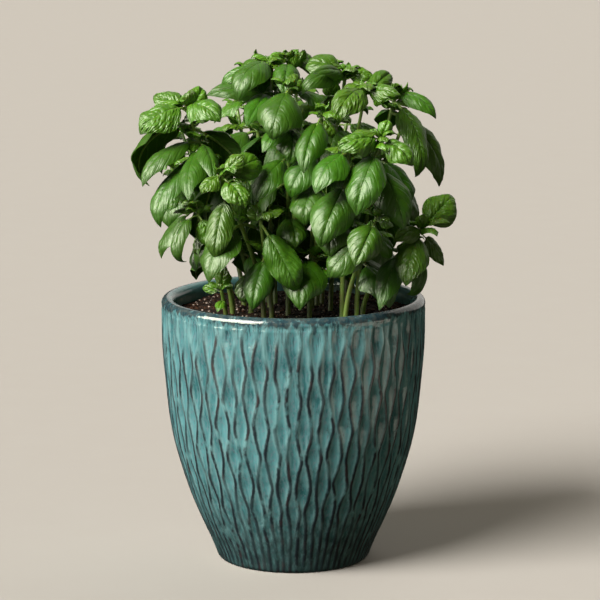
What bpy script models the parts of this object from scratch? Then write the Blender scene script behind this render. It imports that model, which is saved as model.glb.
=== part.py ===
"""A potted basil plant: a glazed pot with gouged scoops, filled with soil, and leafy basil stems.

Lengths in the tables are millimetres and the meshes are metres. +Z is up, the pot stands on z = 0
with its axis on x = y = 0, and the front of the plant faces -Y. Directions in plan are degrees
counterclockwise from +X, so 270 is the front.
"""

import math
import random
from dataclasses import dataclass

import bmesh
import bpy
from mathutils import Vector
from mathutils.bvhtree import BVHTree

MM = 0.001
GAP = 0.3  # between pieces that touch, mm
SEED = 7
SHARP_ANGLE = 35.0  # degrees

# The pot, mm
POT_WALL = (  # height and outer radius, up the outside
    (0.0, 57.8), (12.0, 62.4), (30.0, 70.5), (50.0, 78.7), (75.0, 86.8),
    (100.0, 93.1), (130.0, 96.8), (165.0, 99.7), (197.0, 100.1),
)
POT_LIP = (  # height and radius, over the rolled lip from outside to inside
    (194.0, 99.6), (197.5, 100.1), (200.4, 98.9), (202.0, 96.0), (201.0, 92.6), (198.4, 90.4), (195.0, 89.6),
)
WALL_THICKNESS = 10.0
FLOOR_HEIGHT = 13.0
INSIDE_HEIGHTS = (50.0, 100.0, 186.0)  # where the inner wall bends, above the floor
FOOT_RING_WIDTH = 8.0
FOOT_EDGE = 1.0
FOOT_RECESS = 3.0
LIP_SEGMENTS = 76
INSIDE_SEGMENTS = 38

# The scoops in the wall, mm: the lines between them swing to and fro, each against its neighbours
SCOOP_LINES = 76
LINE_SWING = 1.6
SCOOP_HALF_LENGTH = 22.0
SCOOP_ROWS = 8
WIDEST_AT = 184.0
SWING_FADES = (20.0, 62.0)
GOUGE_RADIUS = 13.0
CARVED_FROM = 4.0
CARVED_TO = 191.0

# The soil, mm
SOIL_TOP = 190.0
SOIL_BUMP = 1.3
SOIL_CLEARANCE = 0.6
SOIL_SHARES = (0.99, 0.72, 0.45, 0.2)  # rings on the surface, as shares of its radius

# The stems, mm
STEM_RADIUS = 2.2
STEM_TAPER = 0.45
STEM_DEPTH = 16.0
STEM_START = 2.0
STEM_POINTS = 8
LOW_BEND = (0.06, 0.42)  # shares of the lean and of the rise that pull the lower half
HIGH_BEND = (0.28, 0.30)  # and that pull the upper half, back from the tip
HOLE_SIDES = 6
HOLE_CLEARANCE = 0.9
HOLE_ABOVE = 12.0

# The leaves, mm and degrees
STALK_SHARE = 0.17
STALK_WIDTH = 1.7
STALK_THICKNESS = 1.4
ROOT_STEP = 0.45
BLADE_THICKNESS = 1.5
BLADE_STATIONS = (0.17, 0.46, 0.80)
SMALL_STATIONS = (0.30, 0.74)
SMALL_LEAF = 22.0
FOLD = 20.0
SLENDER = 0.66  # width of a leaf set by rule, as a share of its length
UPWARD = 0.6
OUTWARD = 0.8
CLEARANCE = 0.5

# The leaves set by rule, mm and degrees: pairs up the stem, the youngest short and raised, and a tuft
PAIR_LENGTH = (46, 56)
PAIR_RISE = (-56, -26)
PAIR_ARCH = (28, 44)
PAIR_WANDER = 14
YOUNG_FROM = 0.72
YOUNG_SPAN = 0.26
YOUNG_SHORTER = 0.62
YOUNG_RISE = 62
TUFT_SHARE = 0.93
TUFT_RISE = 12.0
TUFT_LENGTH = 23.0
TUFT_ARCH = 36.0

# How far the plant's leaves go, mm
LEAF_REACH = (124.5, 109.0)  # from the axis, across and in depth
LEAF_TOP = 384.0
LEAF_FLOOR = 206.0

# What is tried, in this order, where a leaf would cross another
NARROWER = (1.0, 0.88, 0.76)
NEARER_OR_FURTHER = (0, 4, -4, 8, -8, 13, -13, 19, -19, 26, -26)
SIGHT_FALL = 0.18  # how far the front view's lines of sight fall with each mm towards the back
SHORTER = (1.0, 0.85, 0.7)
TILTED = (0, 14, -14, 28)
TURNED = (0, 16, -16, 32, -32, 48, -48)


@dataclass(frozen=True)
class Leaf:
    """A leaf: the share of the stem it leaves at, its tip, width, arch and the way it faces in plan."""

    share: float
    tip: tuple
    width: float
    arch: float
    facing: float


@dataclass(frozen=True)
class Shoot:
    """A stem: its foot and tip, its seen leaves, and the opposite pairs that fill it by rule.

    pairs is (how many, lowest share, highest share, azimuth of the first pair).
    """

    name: str
    foot: tuple
    tip: tuple
    leaves: tuple
    pairs: tuple = (0, 0.4, 0.9, 0)


SHOOTS = (
    Shoot("basil_left_crown", (-32, -8), (-79, -42, 351), (
        Leaf(0.985, (-114, -62, 333), 30, 42, 250),
        Leaf(0.985, (-52, -72, 344), 30, 42, 290),
        Leaf(0.955, (-104, -30, 358), 21, 35, 240),
        Leaf(0.955, (-66, -28, 365), 18, 45, 300),
        Leaf(0.87, (-114, -46, 290), 38, 80, 138),
        Leaf(0.87, (-37, -44, 306), 36, 40, 110),
        Leaf(0.76, (-106, -76, 266), 33, 26, 225),
        Leaf(0.80, (-113, -66, 296), 24, 40, 225),
        Leaf(0.77, (-77, -88, 289), 27, 26, 240),
        Leaf(0.80, (-57, -76, 300), 18, 30, 300),
        Leaf(0.70, (-82, -52, 285), 19, 30, 250),
    ), (3, 0.24, 0.60, 120)),
    Shoot("basil_left_mid", (-22, -38), (-52, -82, 306), (
        Leaf(0.985, (-35, -84, 320), 17, 25, 280),
        Leaf(0.985, (-68, -94, 293), 17, 30, 240),
        Leaf(0.95, (-33, -100, 282), 31, 38, 290),
        Leaf(0.95, (-21, -60, 314), 24, 45, 285),
        Leaf(0.86, (-58, -98, 242), 26, 22, 260),
        Leaf(0.86, (-30, -62, 271), 26, 40, 290),
    ), (2, 0.28, 0.60, 100)),
    Shoot("basil_left_low", (-46, -16), (-70, -58, 273), (
        Leaf(0.985, (-83, -72, 233), 16, 66, 222),
        Leaf(0.985, (-57, -62, 247), 19, 30, 280),
        Leaf(0.80, (-74, -50, 240), 16, 40, 200),
        Leaf(0.80, (-54, -56, 220), 21, 30, 270),
    )),
    Shoot("basil_upper_left", (-18, 12), (-16, -8, 378), (
        Leaf(0.985, (-44, -46, 356), 30, 58, 245),
        Leaf(0.985, (-31, 6, 344), 32, 45, 110),
        Leaf(0.95, (-57, -10, 364), 18, 50, 230),
        Leaf(0.95, (-39, 10, 375), 16, 58, 230),
        Leaf(0.84, (-34, -62, 339), 24, 40, 270),
        Leaf(0.84, (-65, 0, 354), 19, 40, 240),
    ), (2, 0.45, 0.68, 30)),
    Shoot("basil_top_centre", (2, 14), (-4, -4, 382), (
        Leaf(0.99, (4, -4, 389), 10, 20, 290),
        Leaf(0.99, (-20, -10, 384), 13, 30, 260),
        Leaf(0.96, (-7, -42, 359), 22, 50, 270),
        Leaf(0.96, (17, 25, 377), 21, 45, 290),
    ), (2, 0.66, 0.84, 75)),
    Shoot("basil_centre_front", (-4, -22), (-3, -50, 365), (
        Leaf(0.985, (-17, -88, 329), 41, 44, 265),
        Leaf(0.985, (6, -22, 369), 16, 35, 300),
        Leaf(0.80, (-23, -78, 322), 19, 40, 260),
        Leaf(0.80, (-2, -80, 311), 28, 50, 290),
        Leaf(0.66, (-30, -72, 284), 26, 35, 260),
    ), (3, 0.22, 0.54, 20)),
    Shoot("basil_centre_right", (12, -30), (21, -56, 348), (
        Leaf(0.97, (6, -92, 308), 29, 30, 255),
        Leaf(0.97, (31, -60, 328), 19, 35, 290),
        Leaf(0.78, (-5, -70, 285), 26, 40, 260),
    ), (3, 0.24, 0.62, 60)),
    Shoot("basil_top_right", (14, 12), (39, -16, 373), (
        Leaf(0.985, (5, -14, 380), 26, 60, 265),
        Leaf(0.985, (61, -20, 369), 16, 50, 280),
        Leaf(0.95, (15, -38, 374), 16, 40, 265),
        Leaf(0.95, (1, -46, 361), 19, 55, 255),
        Leaf(0.88, (17, -36, 341), 29, 45, 150),
    ), (2, 0.50, 0.74, 30)),
    Shoot("basil_right_top", (28, -4), (53, -34, 362), (
        Leaf(0.985, (78, -52, 360), 18, 38, 280),
        Leaf(0.985, (29, -72, 341), 29, 50, 255),
        Leaf(0.96, (35, -54, 363), 15, 40, 260),
        Leaf(0.96, (74, 8, 369), 17, 50, 290),
    ), (1, 0.60, 0.60, 80)),
    Shoot("basil_right", (40, 8), (77, 6, 355), (
        Leaf(0.985, (108, -14, 339), 19, 52, 300),
        Leaf(0.985, (61, 30, 348), 19, 40, 240),
        Leaf(0.95, (97, -34, 292), 34, 44, 300),
        Leaf(0.95, (90, 48, 343), 21, 40, 60),
        Leaf(0.90, (114, 4, 284), 39, 44, 310),
        Leaf(0.90, (71, 40, 324), 24, 40, 90),
    ), (2, 0.45, 0.66, 40)),
    Shoot("basil_front_right", (47, -36), (63, -82, 332), (
        Leaf(0.985, (29, -98, 325), 24, 46, 258),
        Leaf(0.985, (87, -94, 313), 27, 42, 290),
        Leaf(0.985, (69, -80, 346), 12, 20, 290),
        Leaf(0.97, (50, -98, 324), 10, 30, 260),
        Leaf(0.93, (43, -108, 278), 34, 34, 262),
        Leaf(0.84, (81, -84, 265), 30, 30, 285),
    ), (2, 0.26, 0.60, 110)),
    Shoot("basil_front_centre", (36, -46), (40, -76, 322), (
        Leaf(0.985, (14, -104, 295), 30, 40, 240),
        Leaf(0.985, (21, -70, 285), 28, 40, 100),
        Leaf(0.80, (18, -106, 255), 40, 26, 268),
        Leaf(0.80, (71, -60, 289), 21, 35, 290),
    ), (2, 0.24, 0.56, 150)),
    Shoot("basil_right_low", (52, -20), (95, -50, 261), (
        Leaf(0.985, (121, -30, 285), 32, 22, 285),
        Leaf(0.985, (73, -72, 255), 16, 35, 270),
        Leaf(0.95, (81, -80, 223), 28, 30, 262),
        Leaf(0.95, (113, -40, 231), 16, 30, 290),
        Leaf(0.80, (87, -62, 206), 17, 55, 330),
        Leaf(0.66, (62, -84, 207), 26, 32, 268),
    )),
    Shoot("basil_front_low", (38, -60), (60, -84, 275), (
        Leaf(0.97, (44, -106, 242), 32, 34, 285),
        Leaf(0.97, (73, -80, 267), 13, 30, 280),
        Leaf(0.80, (21, -96, 230), 28, 34, 270),
        Leaf(0.80, (75, -60, 242), 19, 30, 290),
    )),
    Shoot("basil_centre_low", (-16, -54), (-24, -70, 270), (
        Leaf(0.97, (6, -76, 214), 29, 24, 268),
        Leaf(0.97, (-33, -60, 281), 17, 35, 270),
        Leaf(0.62, (-31, -88, 205), 27, 26, 265),
        Leaf(0.62, (-6, -50, 231), 21, 30, 280),
    )),
    Shoot("basil_sprig", (-50, -44), (-53, -56, 216), (
        Leaf(0.97, (-51, -58, 234), 14, 14, 270),
        Leaf(0.90, (-69, -44, 218), 9, 15, 270),
        Leaf(0.55, (-56, -68, 203), 9, 25, 270),
    )),
    Shoot("basil_back_left", (-38, 22), (-86, 44, 322), (), (6, 0.28, 0.98, 140)),
    Shoot("basil_back_mid_left", (-20, 38), (-44, 78, 338), (), (7, 0.28, 0.98, 110)),
    Shoot("basil_back_centre", (2, 44), (2, 86, 346), (), (6, 0.28, 0.98, 95)),
    Shoot("basil_back_mid_right", (22, 36), (44, 74, 342), (), (7, 0.28, 0.98, 60)),
    Shoot("basil_back_right", (38, 26), (84, 52, 326), (), (6, 0.28, 0.98, 40)),
    Shoot("basil_back_top_left", (-14, 26), (-34, 38, 370), (), (5, 0.42, 0.98, 80)),
    Shoot("basil_back_top_right", (18, 24), (30, 40, 372), (), (5, 0.42, 0.98, 115)),
    Shoot("basil_far_left", (-46, 4), (-92, 2, 300), (), (3, 0.66, 0.98, 170)),
)


@dataclass(frozen=True)
class Blade:
    """A leaf set in place: the ends of its midrib, its width, arch and facing direction."""

    base: Vector
    tip: Vector
    width: float
    arch: float
    facing: float

    @property
    def span(self):
        """The straight distance from the stem to the tip."""
        return (self.tip - self.base).length

    @property
    def is_small(self):
        """Whether it is one of the young leaves at a shoot's tip."""
        return self.span < SMALL_LEAF

    def frame(self, share):
        """Point on the midrib at this share of its length, with its direction, normal and side."""
        chord = (self.tip - self.base).normalized()
        turn = math.radians(self.facing)
        hint = Vector((OUTWARD * math.cos(turn), OUTWARD * math.sin(turn), UPWARD))
        lift = (hint - hint.dot(chord) * chord).normalized()
        half_arch = math.radians(self.arch)
        bow = self.span / (2 * math.sin(half_arch))
        angle = half_arch * (1 - 2 * share)
        along = math.cos(angle) * chord + math.sin(angle) * lift
        normal = math.cos(angle) * lift - math.sin(angle) * chord
        rise = math.cos(angle) - math.cos(half_arch)
        point = self.base + bow * ((math.sin(half_arch) - math.sin(angle)) * chord + rise * lift)
        return point, along, normal, along.cross(normal)


def outline(share):
    """Half width of a basil leaf at this share of its blade, as a share of the widest."""
    return math.sin(math.pi * share ** 0.8) ** 0.75


def smooth_between(points, place):
    """Value at a place on a smooth curve through (place, value) points."""
    last = len(points) - 2
    index = next((i for i in range(last) if place < points[i + 1][0]), last)
    near = [points[max(0, min(last + 1, index + step))] for step in (-1, 0, 1, 2)]
    span = near[2][0] - near[1][0]
    slopes = []
    for before, after in ((near[0], near[2]), (near[1], near[3])):
        slopes.append((after[1] - before[1]) / (after[0] - before[0]) * span)
    t = (place - near[1][0]) / span
    return (
        near[1][1] * (2 * t ** 3 - 3 * t ** 2 + 1)
        + slopes[0] * (t ** 3 - 2 * t ** 2 + t)
        + near[2][1] * (3 * t ** 2 - 2 * t ** 3)
        + slopes[1] * (t ** 3 - t ** 2)
    )


def turned(radius, angle, height):
    """Point at a radius, an angle counterclockwise seen from above and from the front, and a height."""
    return Vector((radius * math.sin(angle), -radius * math.cos(angle), height))


def ring(radius, height, segments):
    """A plain round ring of points."""
    return [turned(radius, math.tau * i / segments, height) for i in range(segments)]


def line_angle(line, height, radius):
    """Where a line between two scoops lies round the pot at a height."""
    low, high = SWING_FADES
    fade = min(1.0, max(0.0, (height - low) / (high - low)))
    swing = LINE_SWING * fade * math.cos(math.pi * (height - WIDEST_AT) / SCOOP_HALF_LENGTH)
    return math.tau * (line + 0.5) / SCOOP_LINES + (-1) ** line * swing / radius


def carved_ring(height):
    """A ring round the wall: a point on each line, and one in each scoop, as deep as the scoop is wide."""
    radius = smooth_between(POT_WALL, height)
    points = []
    for line in range(SCOOP_LINES):
        here = line_angle(line, height, radius)
        there = line_angle(line + 1, height, radius)
        width = (there - here) * radius
        points.append(turned(radius, here, height))
        points.append(turned(radius - width ** 2 / (8 * GOUGE_RADIUS), (here + there) / 2, height))
    return points


def inside_radius(height):
    """Radius of the pot's inner wall."""
    return smooth_between(POT_WALL, height) - WALL_THICKNESS


def new_material(name, colour, roughness):
    """A plain Principled material."""
    material = bpy.data.materials.new(name)
    material.use_nodes = True
    shader = material.node_tree.nodes["Principled BSDF"]
    shader.inputs["Base Color"].default_value = (*colour, 1.0)
    shader.inputs["Roughness"].default_value = roughness
    return material


def new_object(name, mesh, collection, material=None):
    """An object of this mesh in a collection, shaded smooth between its sharp edges."""
    thing = bpy.data.objects.new(name, mesh)
    collection.objects.link(thing)
    mesh.shade_smooth()
    mesh.set_sharp_from_angle(angle=math.radians(SHARP_ANGLE))
    if material:
        mesh.materials.append(material)
    return thing


def mesh_of_rings(name, rings):
    """A closed mesh through rings of points in millimetres, with both ends filled.

    Rings that follow each other have as many points, or half or twice as many.
    """
    form = bmesh.new()
    loops = [[form.verts.new(point * MM) for point in points] for points in rings]
    for lower, upper in zip(loops, loops[1:]):
        few, many = sorted((lower, upper), key=len)
        ratio = len(many) // len(few)
        middle = max(1, ratio // 2)
        for i in range(len(few)):
            here, there = few[i], few[(i + 1) % len(few)]
            across = [many[(ratio * i + step) % len(many)] for step in range(ratio + 1)]
            for step, (first, second) in enumerate(zip(across, across[1:])):
                form.faces.new((here if step < middle else there, first, second))
            form.faces.new((here, across[middle], there))
    for end in (loops[0], loops[-1]):
        form.faces.new(end)
    bmesh.ops.triangulate(form, faces=form.faces)
    bmesh.ops.recalc_face_normals(form, faces=form.faces)
    mesh = bpy.data.meshes.new(name)
    form.to_mesh(mesh)
    form.free()
    return mesh


def build_pot(collection):
    """The glazed pot, from the recess under its foot up the carved wall, over the lip and down inside."""
    foot = smooth_between(POT_WALL, 0.0)
    rings = [
        ring(foot - FOOT_RING_WIDTH - FOOT_RECESS, FOOT_RECESS, INSIDE_SEGMENTS),
        ring(foot - FOOT_RING_WIDTH, 0.0, INSIDE_SEGMENTS),
        ring(foot - FOOT_EDGE, 0.0, LIP_SEGMENTS),
    ]
    heights = [WIDEST_AT - SCOOP_HALF_LENGTH * step for step in range(SCOOP_ROWS - 1, -1, -1)]
    rings += [carved_ring(height) for height in [CARVED_FROM, *heights, CARVED_TO]]
    rings += [ring(radius, height, LIP_SEGMENTS) for height, radius in POT_LIP]
    for height in (*reversed(INSIDE_HEIGHTS), FLOOR_HEIGHT):
        rings.append(ring(inside_radius(height), height, INSIDE_SEGMENTS))
    glaze = new_material("glazed_stoneware", (0.10, 0.33, 0.33), 0.15)
    return new_object("glazed_pot", mesh_of_rings("glazed_pot", rings), collection, glaze)


def soil_height(radius, angle):
    """Height of the soil's surface, which is heaped up unevenly."""
    wave = math.sin(3 * angle + radius / 9) + math.cos(5 * angle - radius / 13)
    return SOIL_TOP + SOIL_BUMP * wave / 2


def build_soil(collection, cutters, stems):
    """The soil inside the pot, with a plain hole round the foot of each stem."""
    rings = []
    for height in (FLOOR_HEIGHT + GAP, *INSIDE_HEIGHTS):
        rings.append(ring(inside_radius(height) - SOIL_CLEARANCE, height, INSIDE_SEGMENTS))
    top = inside_radius(SOIL_TOP) - SOIL_CLEARANCE
    for share in SOIL_SHARES:
        points = ring(top * share, SOIL_TOP, INSIDE_SEGMENTS)
        for i, point in enumerate(points):
            point.z = soil_height(top * share, math.tau * i / INSIDE_SEGMENTS)
        rings.append(points)
    dark = new_material("potting_soil", (0.03, 0.018, 0.012), 0.95)
    soil = new_object("potting_soil", mesh_of_rings("potting_soil", rings), collection, dark)
    for name, stem in stems.items():
        add_hole(cutters, name, stem[0])
    cut = soil.modifiers.new("stem_holes", "BOOLEAN")
    cut.operation = "DIFFERENCE"
    cut.operand_type = "COLLECTION"
    cut.collection = cutters
    return soil


def add_hole(cutters, name, foot):
    """The cutter of a stem's hole in the soil."""
    form = bmesh.new()
    depth = STEM_DEPTH + HOLE_ABOVE
    radius = STEM_RADIUS + HOLE_CLEARANCE
    bmesh.ops.create_cone(
        form, cap_ends=True, segments=HOLE_SIDES, radius1=radius * MM, radius2=radius * MM, depth=depth * MM,
    )
    middle = Vector((foot.x, foot.y, foot.z - HOLE_CLEARANCE + depth / 2))
    bmesh.ops.translate(form, verts=form.verts, vec=middle * MM)
    mesh = bpy.data.meshes.new(f"hole_{name}")
    form.to_mesh(mesh)
    form.free()
    cutter = new_object(f"hole_{name}", mesh, cutters)
    cutter.hide_render = True
    cutter.display_type = "WIRE"


def stem_points(shoot):
    """Points up a stem: straight up out of the soil, then in one easy bend to the tip."""
    foot = Vector((*shoot.foot, SOIL_TOP - STEM_DEPTH))
    start = Vector((*shoot.foot, SOIL_TOP + STEM_START))
    tip = Vector(shoot.tip)
    rise = Vector((0.0, 0.0, tip.z - start.z))
    lean = Vector((tip.x - start.x, tip.y - start.y, 0.0))
    first = start + lean * LOW_BEND[0] + rise * LOW_BEND[1]
    second = tip - lean * HIGH_BEND[0] - rise * HIGH_BEND[1]
    points = [foot]
    for step in range(STEM_POINTS):
        t = step / (STEM_POINTS - 1)
        u = 1 - t
        points.append(u ** 3 * start + 3 * u * u * t * first + 3 * u * t * t * second + t ** 3 * tip)
    return points


def on_stem(points, share):
    """Point at a share of the way up a stem, from where it leaves the soil."""
    place = share * (len(points) - 2) + 1
    index = min(int(place), len(points) - 2)
    return points[index].lerp(points[index + 1], place - index)


def stem_width(share):
    """Radius of a stem at a share of the way up."""
    return STEM_RADIUS * (1 - STEM_TAPER * share)


def leaf_rings(blade, margin=0.0):
    """Four-cornered sections from inside the stem to the last one before the tip, grown by a margin."""
    stalk = STALK_WIDTH / 2
    sections = [(0.0, stalk, STALK_THICKNESS, 0.0)]
    if not blade.is_small:
        sections.append((STALK_SHARE, stalk, STALK_THICKNESS, 0.0))
    for share in SMALL_STATIONS if blade.is_small else BLADE_STATIONS:
        whole = STALK_SHARE + (1 - STALK_SHARE) * share
        sections.append((whole, blade.width / 2 * outline(share), BLADE_THICKNESS, math.radians(FOLD)))
    rings = []
    for share, half, thickness, fold in sections:
        point, along, normal, side = blade.frame(share)
        reach = side * (half + margin)
        drop = normal * half * math.tan(fold)
        lift = normal * (thickness / 2 + margin)
        rings.append([point - reach - drop, point + lift, point + reach - drop, point - lift])
    return rings


def leaf_faces(blade, first=0, margin=0.0):
    """Vertices and faces of a leaf from one of its sections to its tip."""
    rings = leaf_rings(blade, margin)[first:]
    points = [point for section in rings for point in section]
    points.append(blade.frame(1.0)[0])
    faces = [(3, 2, 1, 0)]
    for low in range(0, 4 * (len(rings) - 1), 4):
        for middle in (low + 1, low + 3):
            for edge in (low, low + 2):
                faces.append((middle, edge, edge + 4))
                faces.append((middle, edge + 4, middle + 4))
    last = 4 * (len(rings) - 1)
    faces += [(last + i, last + (i + 1) % 4, len(points) - 1) for i in range(4)]
    return points, faces


def stem_faces(points, margin=0.0):
    """Vertices and faces of a square tube up a stem, which stands for it when leaves are kept clear."""
    corners = []
    for i, point in enumerate(points):
        reach = stem_width(i / (len(points) - 1)) + margin
        for x, y in ((reach, 0), (0, reach), (-reach, 0), (0, -reach)):
            corners.append(point + Vector((x, y, 0.0)))
    faces = []
    for start in range(0, 4 * (len(points) - 1), 4):
        for i in range(4):
            j = (i + 1) % 4
            faces.append((start + i, start + j, start + 4 + j, start + 4 + i))
    return corners, faces


@dataclass(frozen=True)
class Body:
    """A shape that leaves are kept clear of, with a ball round it for a quick first test."""

    owner: str
    tree: BVHTree
    middle: Vector
    reach: float

    def meets(self, other):
        """Whether the two surfaces cross."""
        if (self.middle - other.middle).length > self.reach + other.reach:
            return False
        return bool(self.tree.overlap(other.tree))


def body_of(owner, points, faces):
    """A Body of these vertices and faces."""
    middle = sum(points, Vector()) / len(points)
    reach = max((point - middle).length for point in points)
    return Body(owner, BVHTree.FromPolygons(points, faces), middle, reach)


class Canopy:
    """The leaves set so far, each clear of every other and of the stems and the pot."""

    def __init__(self, stems):
        self.stems = stems
        self.whole = [body_of("pot", *pot_edge())]
        self.parts = []
        self.blades = {name: [] for name in stems}
        for name, points in stems.items():
            self.whole.append(body_of(name, *stem_faces(points, CLEARANCE)))

    def fits(self, owner, blade):
        """Whether a leaf is clear: its whole length of other stems' parts, and its blade of its own's."""
        whole = body_of(owner, *leaf_faces(blade, 0, CLEARANCE))
        if any(whole.meets(other) for other in self.whole if other.owner != owner):
            return False
        part = body_of(owner, *leaf_faces(blade, 1 if blade.is_small else 2, CLEARANCE))
        own_stem = next(other for other in self.whole if other.owner == owner)
        if part.meets(own_stem) or any(part.meets(other) for other in self.parts if other.owner == owner):
            return False
        self.whole.append(whole)
        self.parts.append(part)
        self.blades[owner].append(blade)
        return True

    def root(self, name, share):
        """Point in a stem that a leaf starts from, a step above or below the one set before it."""
        step = len(self.blades[name]) % 3 - 1
        return on_stem(self.stems[name], share) + Vector((0.0, 0.0, ROOT_STEP * step))

    def add_seen(self, shoot, leaf):
        """Sets a leaf from the table, a little nearer or further and narrower where it would cross."""
        base = self.root(shoot.name, leaf.share)
        for narrow in NARROWER:
            for depth in NEARER_OR_FURTHER:
                tip = Vector(leaf.tip) + Vector((0.0, depth, -SIGHT_FALL * depth))
                if self.fits(shoot.name, Blade(base, tip, leaf.width * narrow, leaf.arch, leaf.facing)):
                    return True
        return False

    def add_by_rule(self, shoot, share, azimuth, rise, length, arch):
        """Sets a leaf of a pair, turned, tilted or shortened where it would cross or reach too far."""
        base = self.root(shoot.name, share)
        for scale in SHORTER:
            for tilt in TILTED:
                for turn in TURNED:
                    plan = math.radians(azimuth + turn)
                    climb = math.radians(rise + tilt)
                    reach = length * scale
                    level = reach * math.cos(climb)
                    way = Vector((level * math.cos(plan), level * math.sin(plan), reach * math.sin(climb)))
                    blade = Blade(base, base + way, SLENDER * reach, arch, azimuth + turn)
                    if within_reach(blade) and self.fits(shoot.name, blade):
                        return True
        return False


def within_reach(blade):
    """Whether a leaf set by rule stays inside the plant's outline and above the pot's lip."""
    for share in (0.3, 0.6, 1.0):
        point = blade.frame(share)[0]
        spread = blade.width / 2 if share < 1.0 else 0.0
        if abs(point.x) + spread > LEAF_REACH[0] or abs(point.y) + spread > LEAF_REACH[1]:
            return False
        if point.z > LEAF_TOP or point.z - spread / 2 < LEAF_FLOOR:
            return False
    return True


def pot_edge():
    """Vertices and faces of the pot's lip and walls."""
    inside = [(height, inside_radius(height)) for height in (FLOOR_HEIGHT, *INSIDE_HEIGHTS)]
    outside = [(height, smooth_between(POT_WALL, height)) for height in (*reversed(INSIDE_HEIGHTS), 0.0)]
    profile = inside + list(reversed(POT_LIP)) + outside
    points = [point for height, radius in profile for point in ring(radius, height, INSIDE_SEGMENTS)]
    faces = []
    for low in range(0, INSIDE_SEGMENTS * (len(profile) - 1), INSIDE_SEGMENTS):
        high = low + INSIDE_SEGMENTS
        for i in range(INSIDE_SEGMENTS):
            j = (i + 1) % INSIDE_SEGMENTS
            faces.append((low + i, low + j, high + j, high + i))
    return points, faces


def grow(shoots):
    """Lays out every leaf: first the ones seen from the front, then the pairs that fill the plant."""
    draw = random.Random(SEED)
    stems = {shoot.name: stem_points(shoot) for shoot in shoots}
    canopy = Canopy(stems)
    left_out = []
    for shoot in shoots:
        for leaf in shoot.leaves:
            if not canopy.add_seen(shoot, leaf):
                left_out.append(f"{shoot.name} {leaf.tip}")
    for shoot in shoots:
        count, low, high, start = shoot.pairs
        leaves = []
        for pair in range(count):
            share = low + (high - low) * pair / max(1, count - 1)
            young = max(0.0, (share - YOUNG_FROM) / YOUNG_SPAN)
            length = draw.uniform(*PAIR_LENGTH) * (1 - YOUNG_SHORTER * young)
            rise = draw.uniform(*PAIR_RISE) + YOUNG_RISE * young
            arch = draw.uniform(*PAIR_ARCH)
            for side in (0, 180):
                azimuth = start + 90 * pair + side + draw.uniform(-PAIR_WANDER, PAIR_WANDER)
                leaves.append((share, azimuth, rise, length, arch))
        for side in (90, 270) if not shoot.leaves else ():
            azimuth = start + 90 * (count - 1) + side
            leaves.append((TUFT_SHARE, azimuth, TUFT_RISE, TUFT_LENGTH, TUFT_ARCH))
        for leaf in leaves:
            if not canopy.add_by_rule(shoot, *leaf):
                left_out.append(f"{shoot.name} by rule")
    return stems, canopy.blades, left_out


def build_stem(name, points, blades, collection, spare, green):
    """One leafy stem: a tapered square stalk with its leaves joined on."""
    curve = bpy.data.curves.new(name, "CURVE")
    curve.dimensions = "3D"
    curve.bevel_depth = STEM_RADIUS * MM
    curve.bevel_resolution = 0
    curve.use_fill_caps = True
    spline = curve.splines.new("POLY")
    spline.points.add(len(points) - 1)
    for i, (knot, point) in enumerate(zip(spline.points, points)):
        knot.co = (*(point * MM), 1.0)
        knot.radius = stem_width(i / (len(points) - 1)) / STEM_RADIUS
    guide = bpy.data.objects.new(name, curve)
    spare.objects.link(guide)
    bpy.context.view_layer.update()
    mesh = bpy.data.meshes.new_from_object(guide.evaluated_get(bpy.context.evaluated_depsgraph_get()))
    bpy.data.objects.remove(guide)
    tidy_mesh(mesh)
    stem = new_object(name, mesh, collection, green)

    leaves = bpy.data.collections.new(f"{name}_leaves")
    spare.children.link(leaves)
    for i, blade in enumerate(blades):
        corners, faces = leaf_faces(blade)
        leaf_mesh = bpy.data.meshes.new(f"{name}_leaf_{i}")
        leaf_mesh.from_pydata([corner * MM for corner in corners], [], faces)
        tidy_mesh(leaf_mesh)
        new_object(f"{name}_leaf_{i}", leaf_mesh, leaves, green)
    union = stem.modifiers.new("leaves", "BOOLEAN")
    union.operation = "UNION"
    union.operand_type = "COLLECTION"
    union.collection = leaves
    bpy.context.view_layer.update()
    joined = bpy.data.meshes.new_from_object(stem.evaluated_get(bpy.context.evaluated_depsgraph_get()))
    stem.modifiers.clear()
    stem.data = joined
    for leaf in list(leaves.objects):
        bpy.data.objects.remove(leaf)
    bpy.data.collections.remove(leaves)
    return stem


def tidy_mesh(mesh):
    """Closes a mesh where its points meet and turns its faces outwards."""
    form = bmesh.new()
    form.from_mesh(mesh)
    bmesh.ops.remove_doubles(form, verts=form.verts, dist=1e-6)
    bmesh.ops.recalc_face_normals(form, faces=form.faces)
    form.to_mesh(mesh)
    form.free()


def main():
    """Builds the pot, the soil and the stems."""
    for thing in list(bpy.data.objects):
        bpy.data.objects.remove(thing)
    scene = bpy.context.scene.collection
    plant = bpy.data.collections.new("potted_basil")
    cutters = bpy.data.collections.new("cutters")
    spare = bpy.data.collections.new("spare")
    for collection in (plant, cutters, spare):
        scene.children.link(collection)
    stems, blades, left_out = grow(SHOOTS)
    build_pot(plant)
    build_soil(plant, cutters, stems)
    green = new_material("basil_leaf", (0.09, 0.26, 0.05), 0.4)
    for name, points in stems.items():
        build_stem(name, points, blades[name], plant, spare, green)
    bpy.data.collections.remove(spare)
    print(sum(len(found) for found in blades.values()), "leaves set, left out:", left_out)


main()
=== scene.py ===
"""The looks of a potted basil: puffed glossy leaves on square stems, in a carved pot with a turquoise glaze.

Lengths in tables and fields are millimetres unless a name says otherwise, and meshes are metres. +Z is up,
the pot stands on z = 0 with its axis on x = y = 0, and the photograph's side faces -Y. Directions in plan
are degrees counterclockwise from +X, so 270 is the front.
"""

import logging
import math
import random
from collections.abc import Iterable, Sequence
from dataclasses import dataclass, field
from enum import Enum

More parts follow.
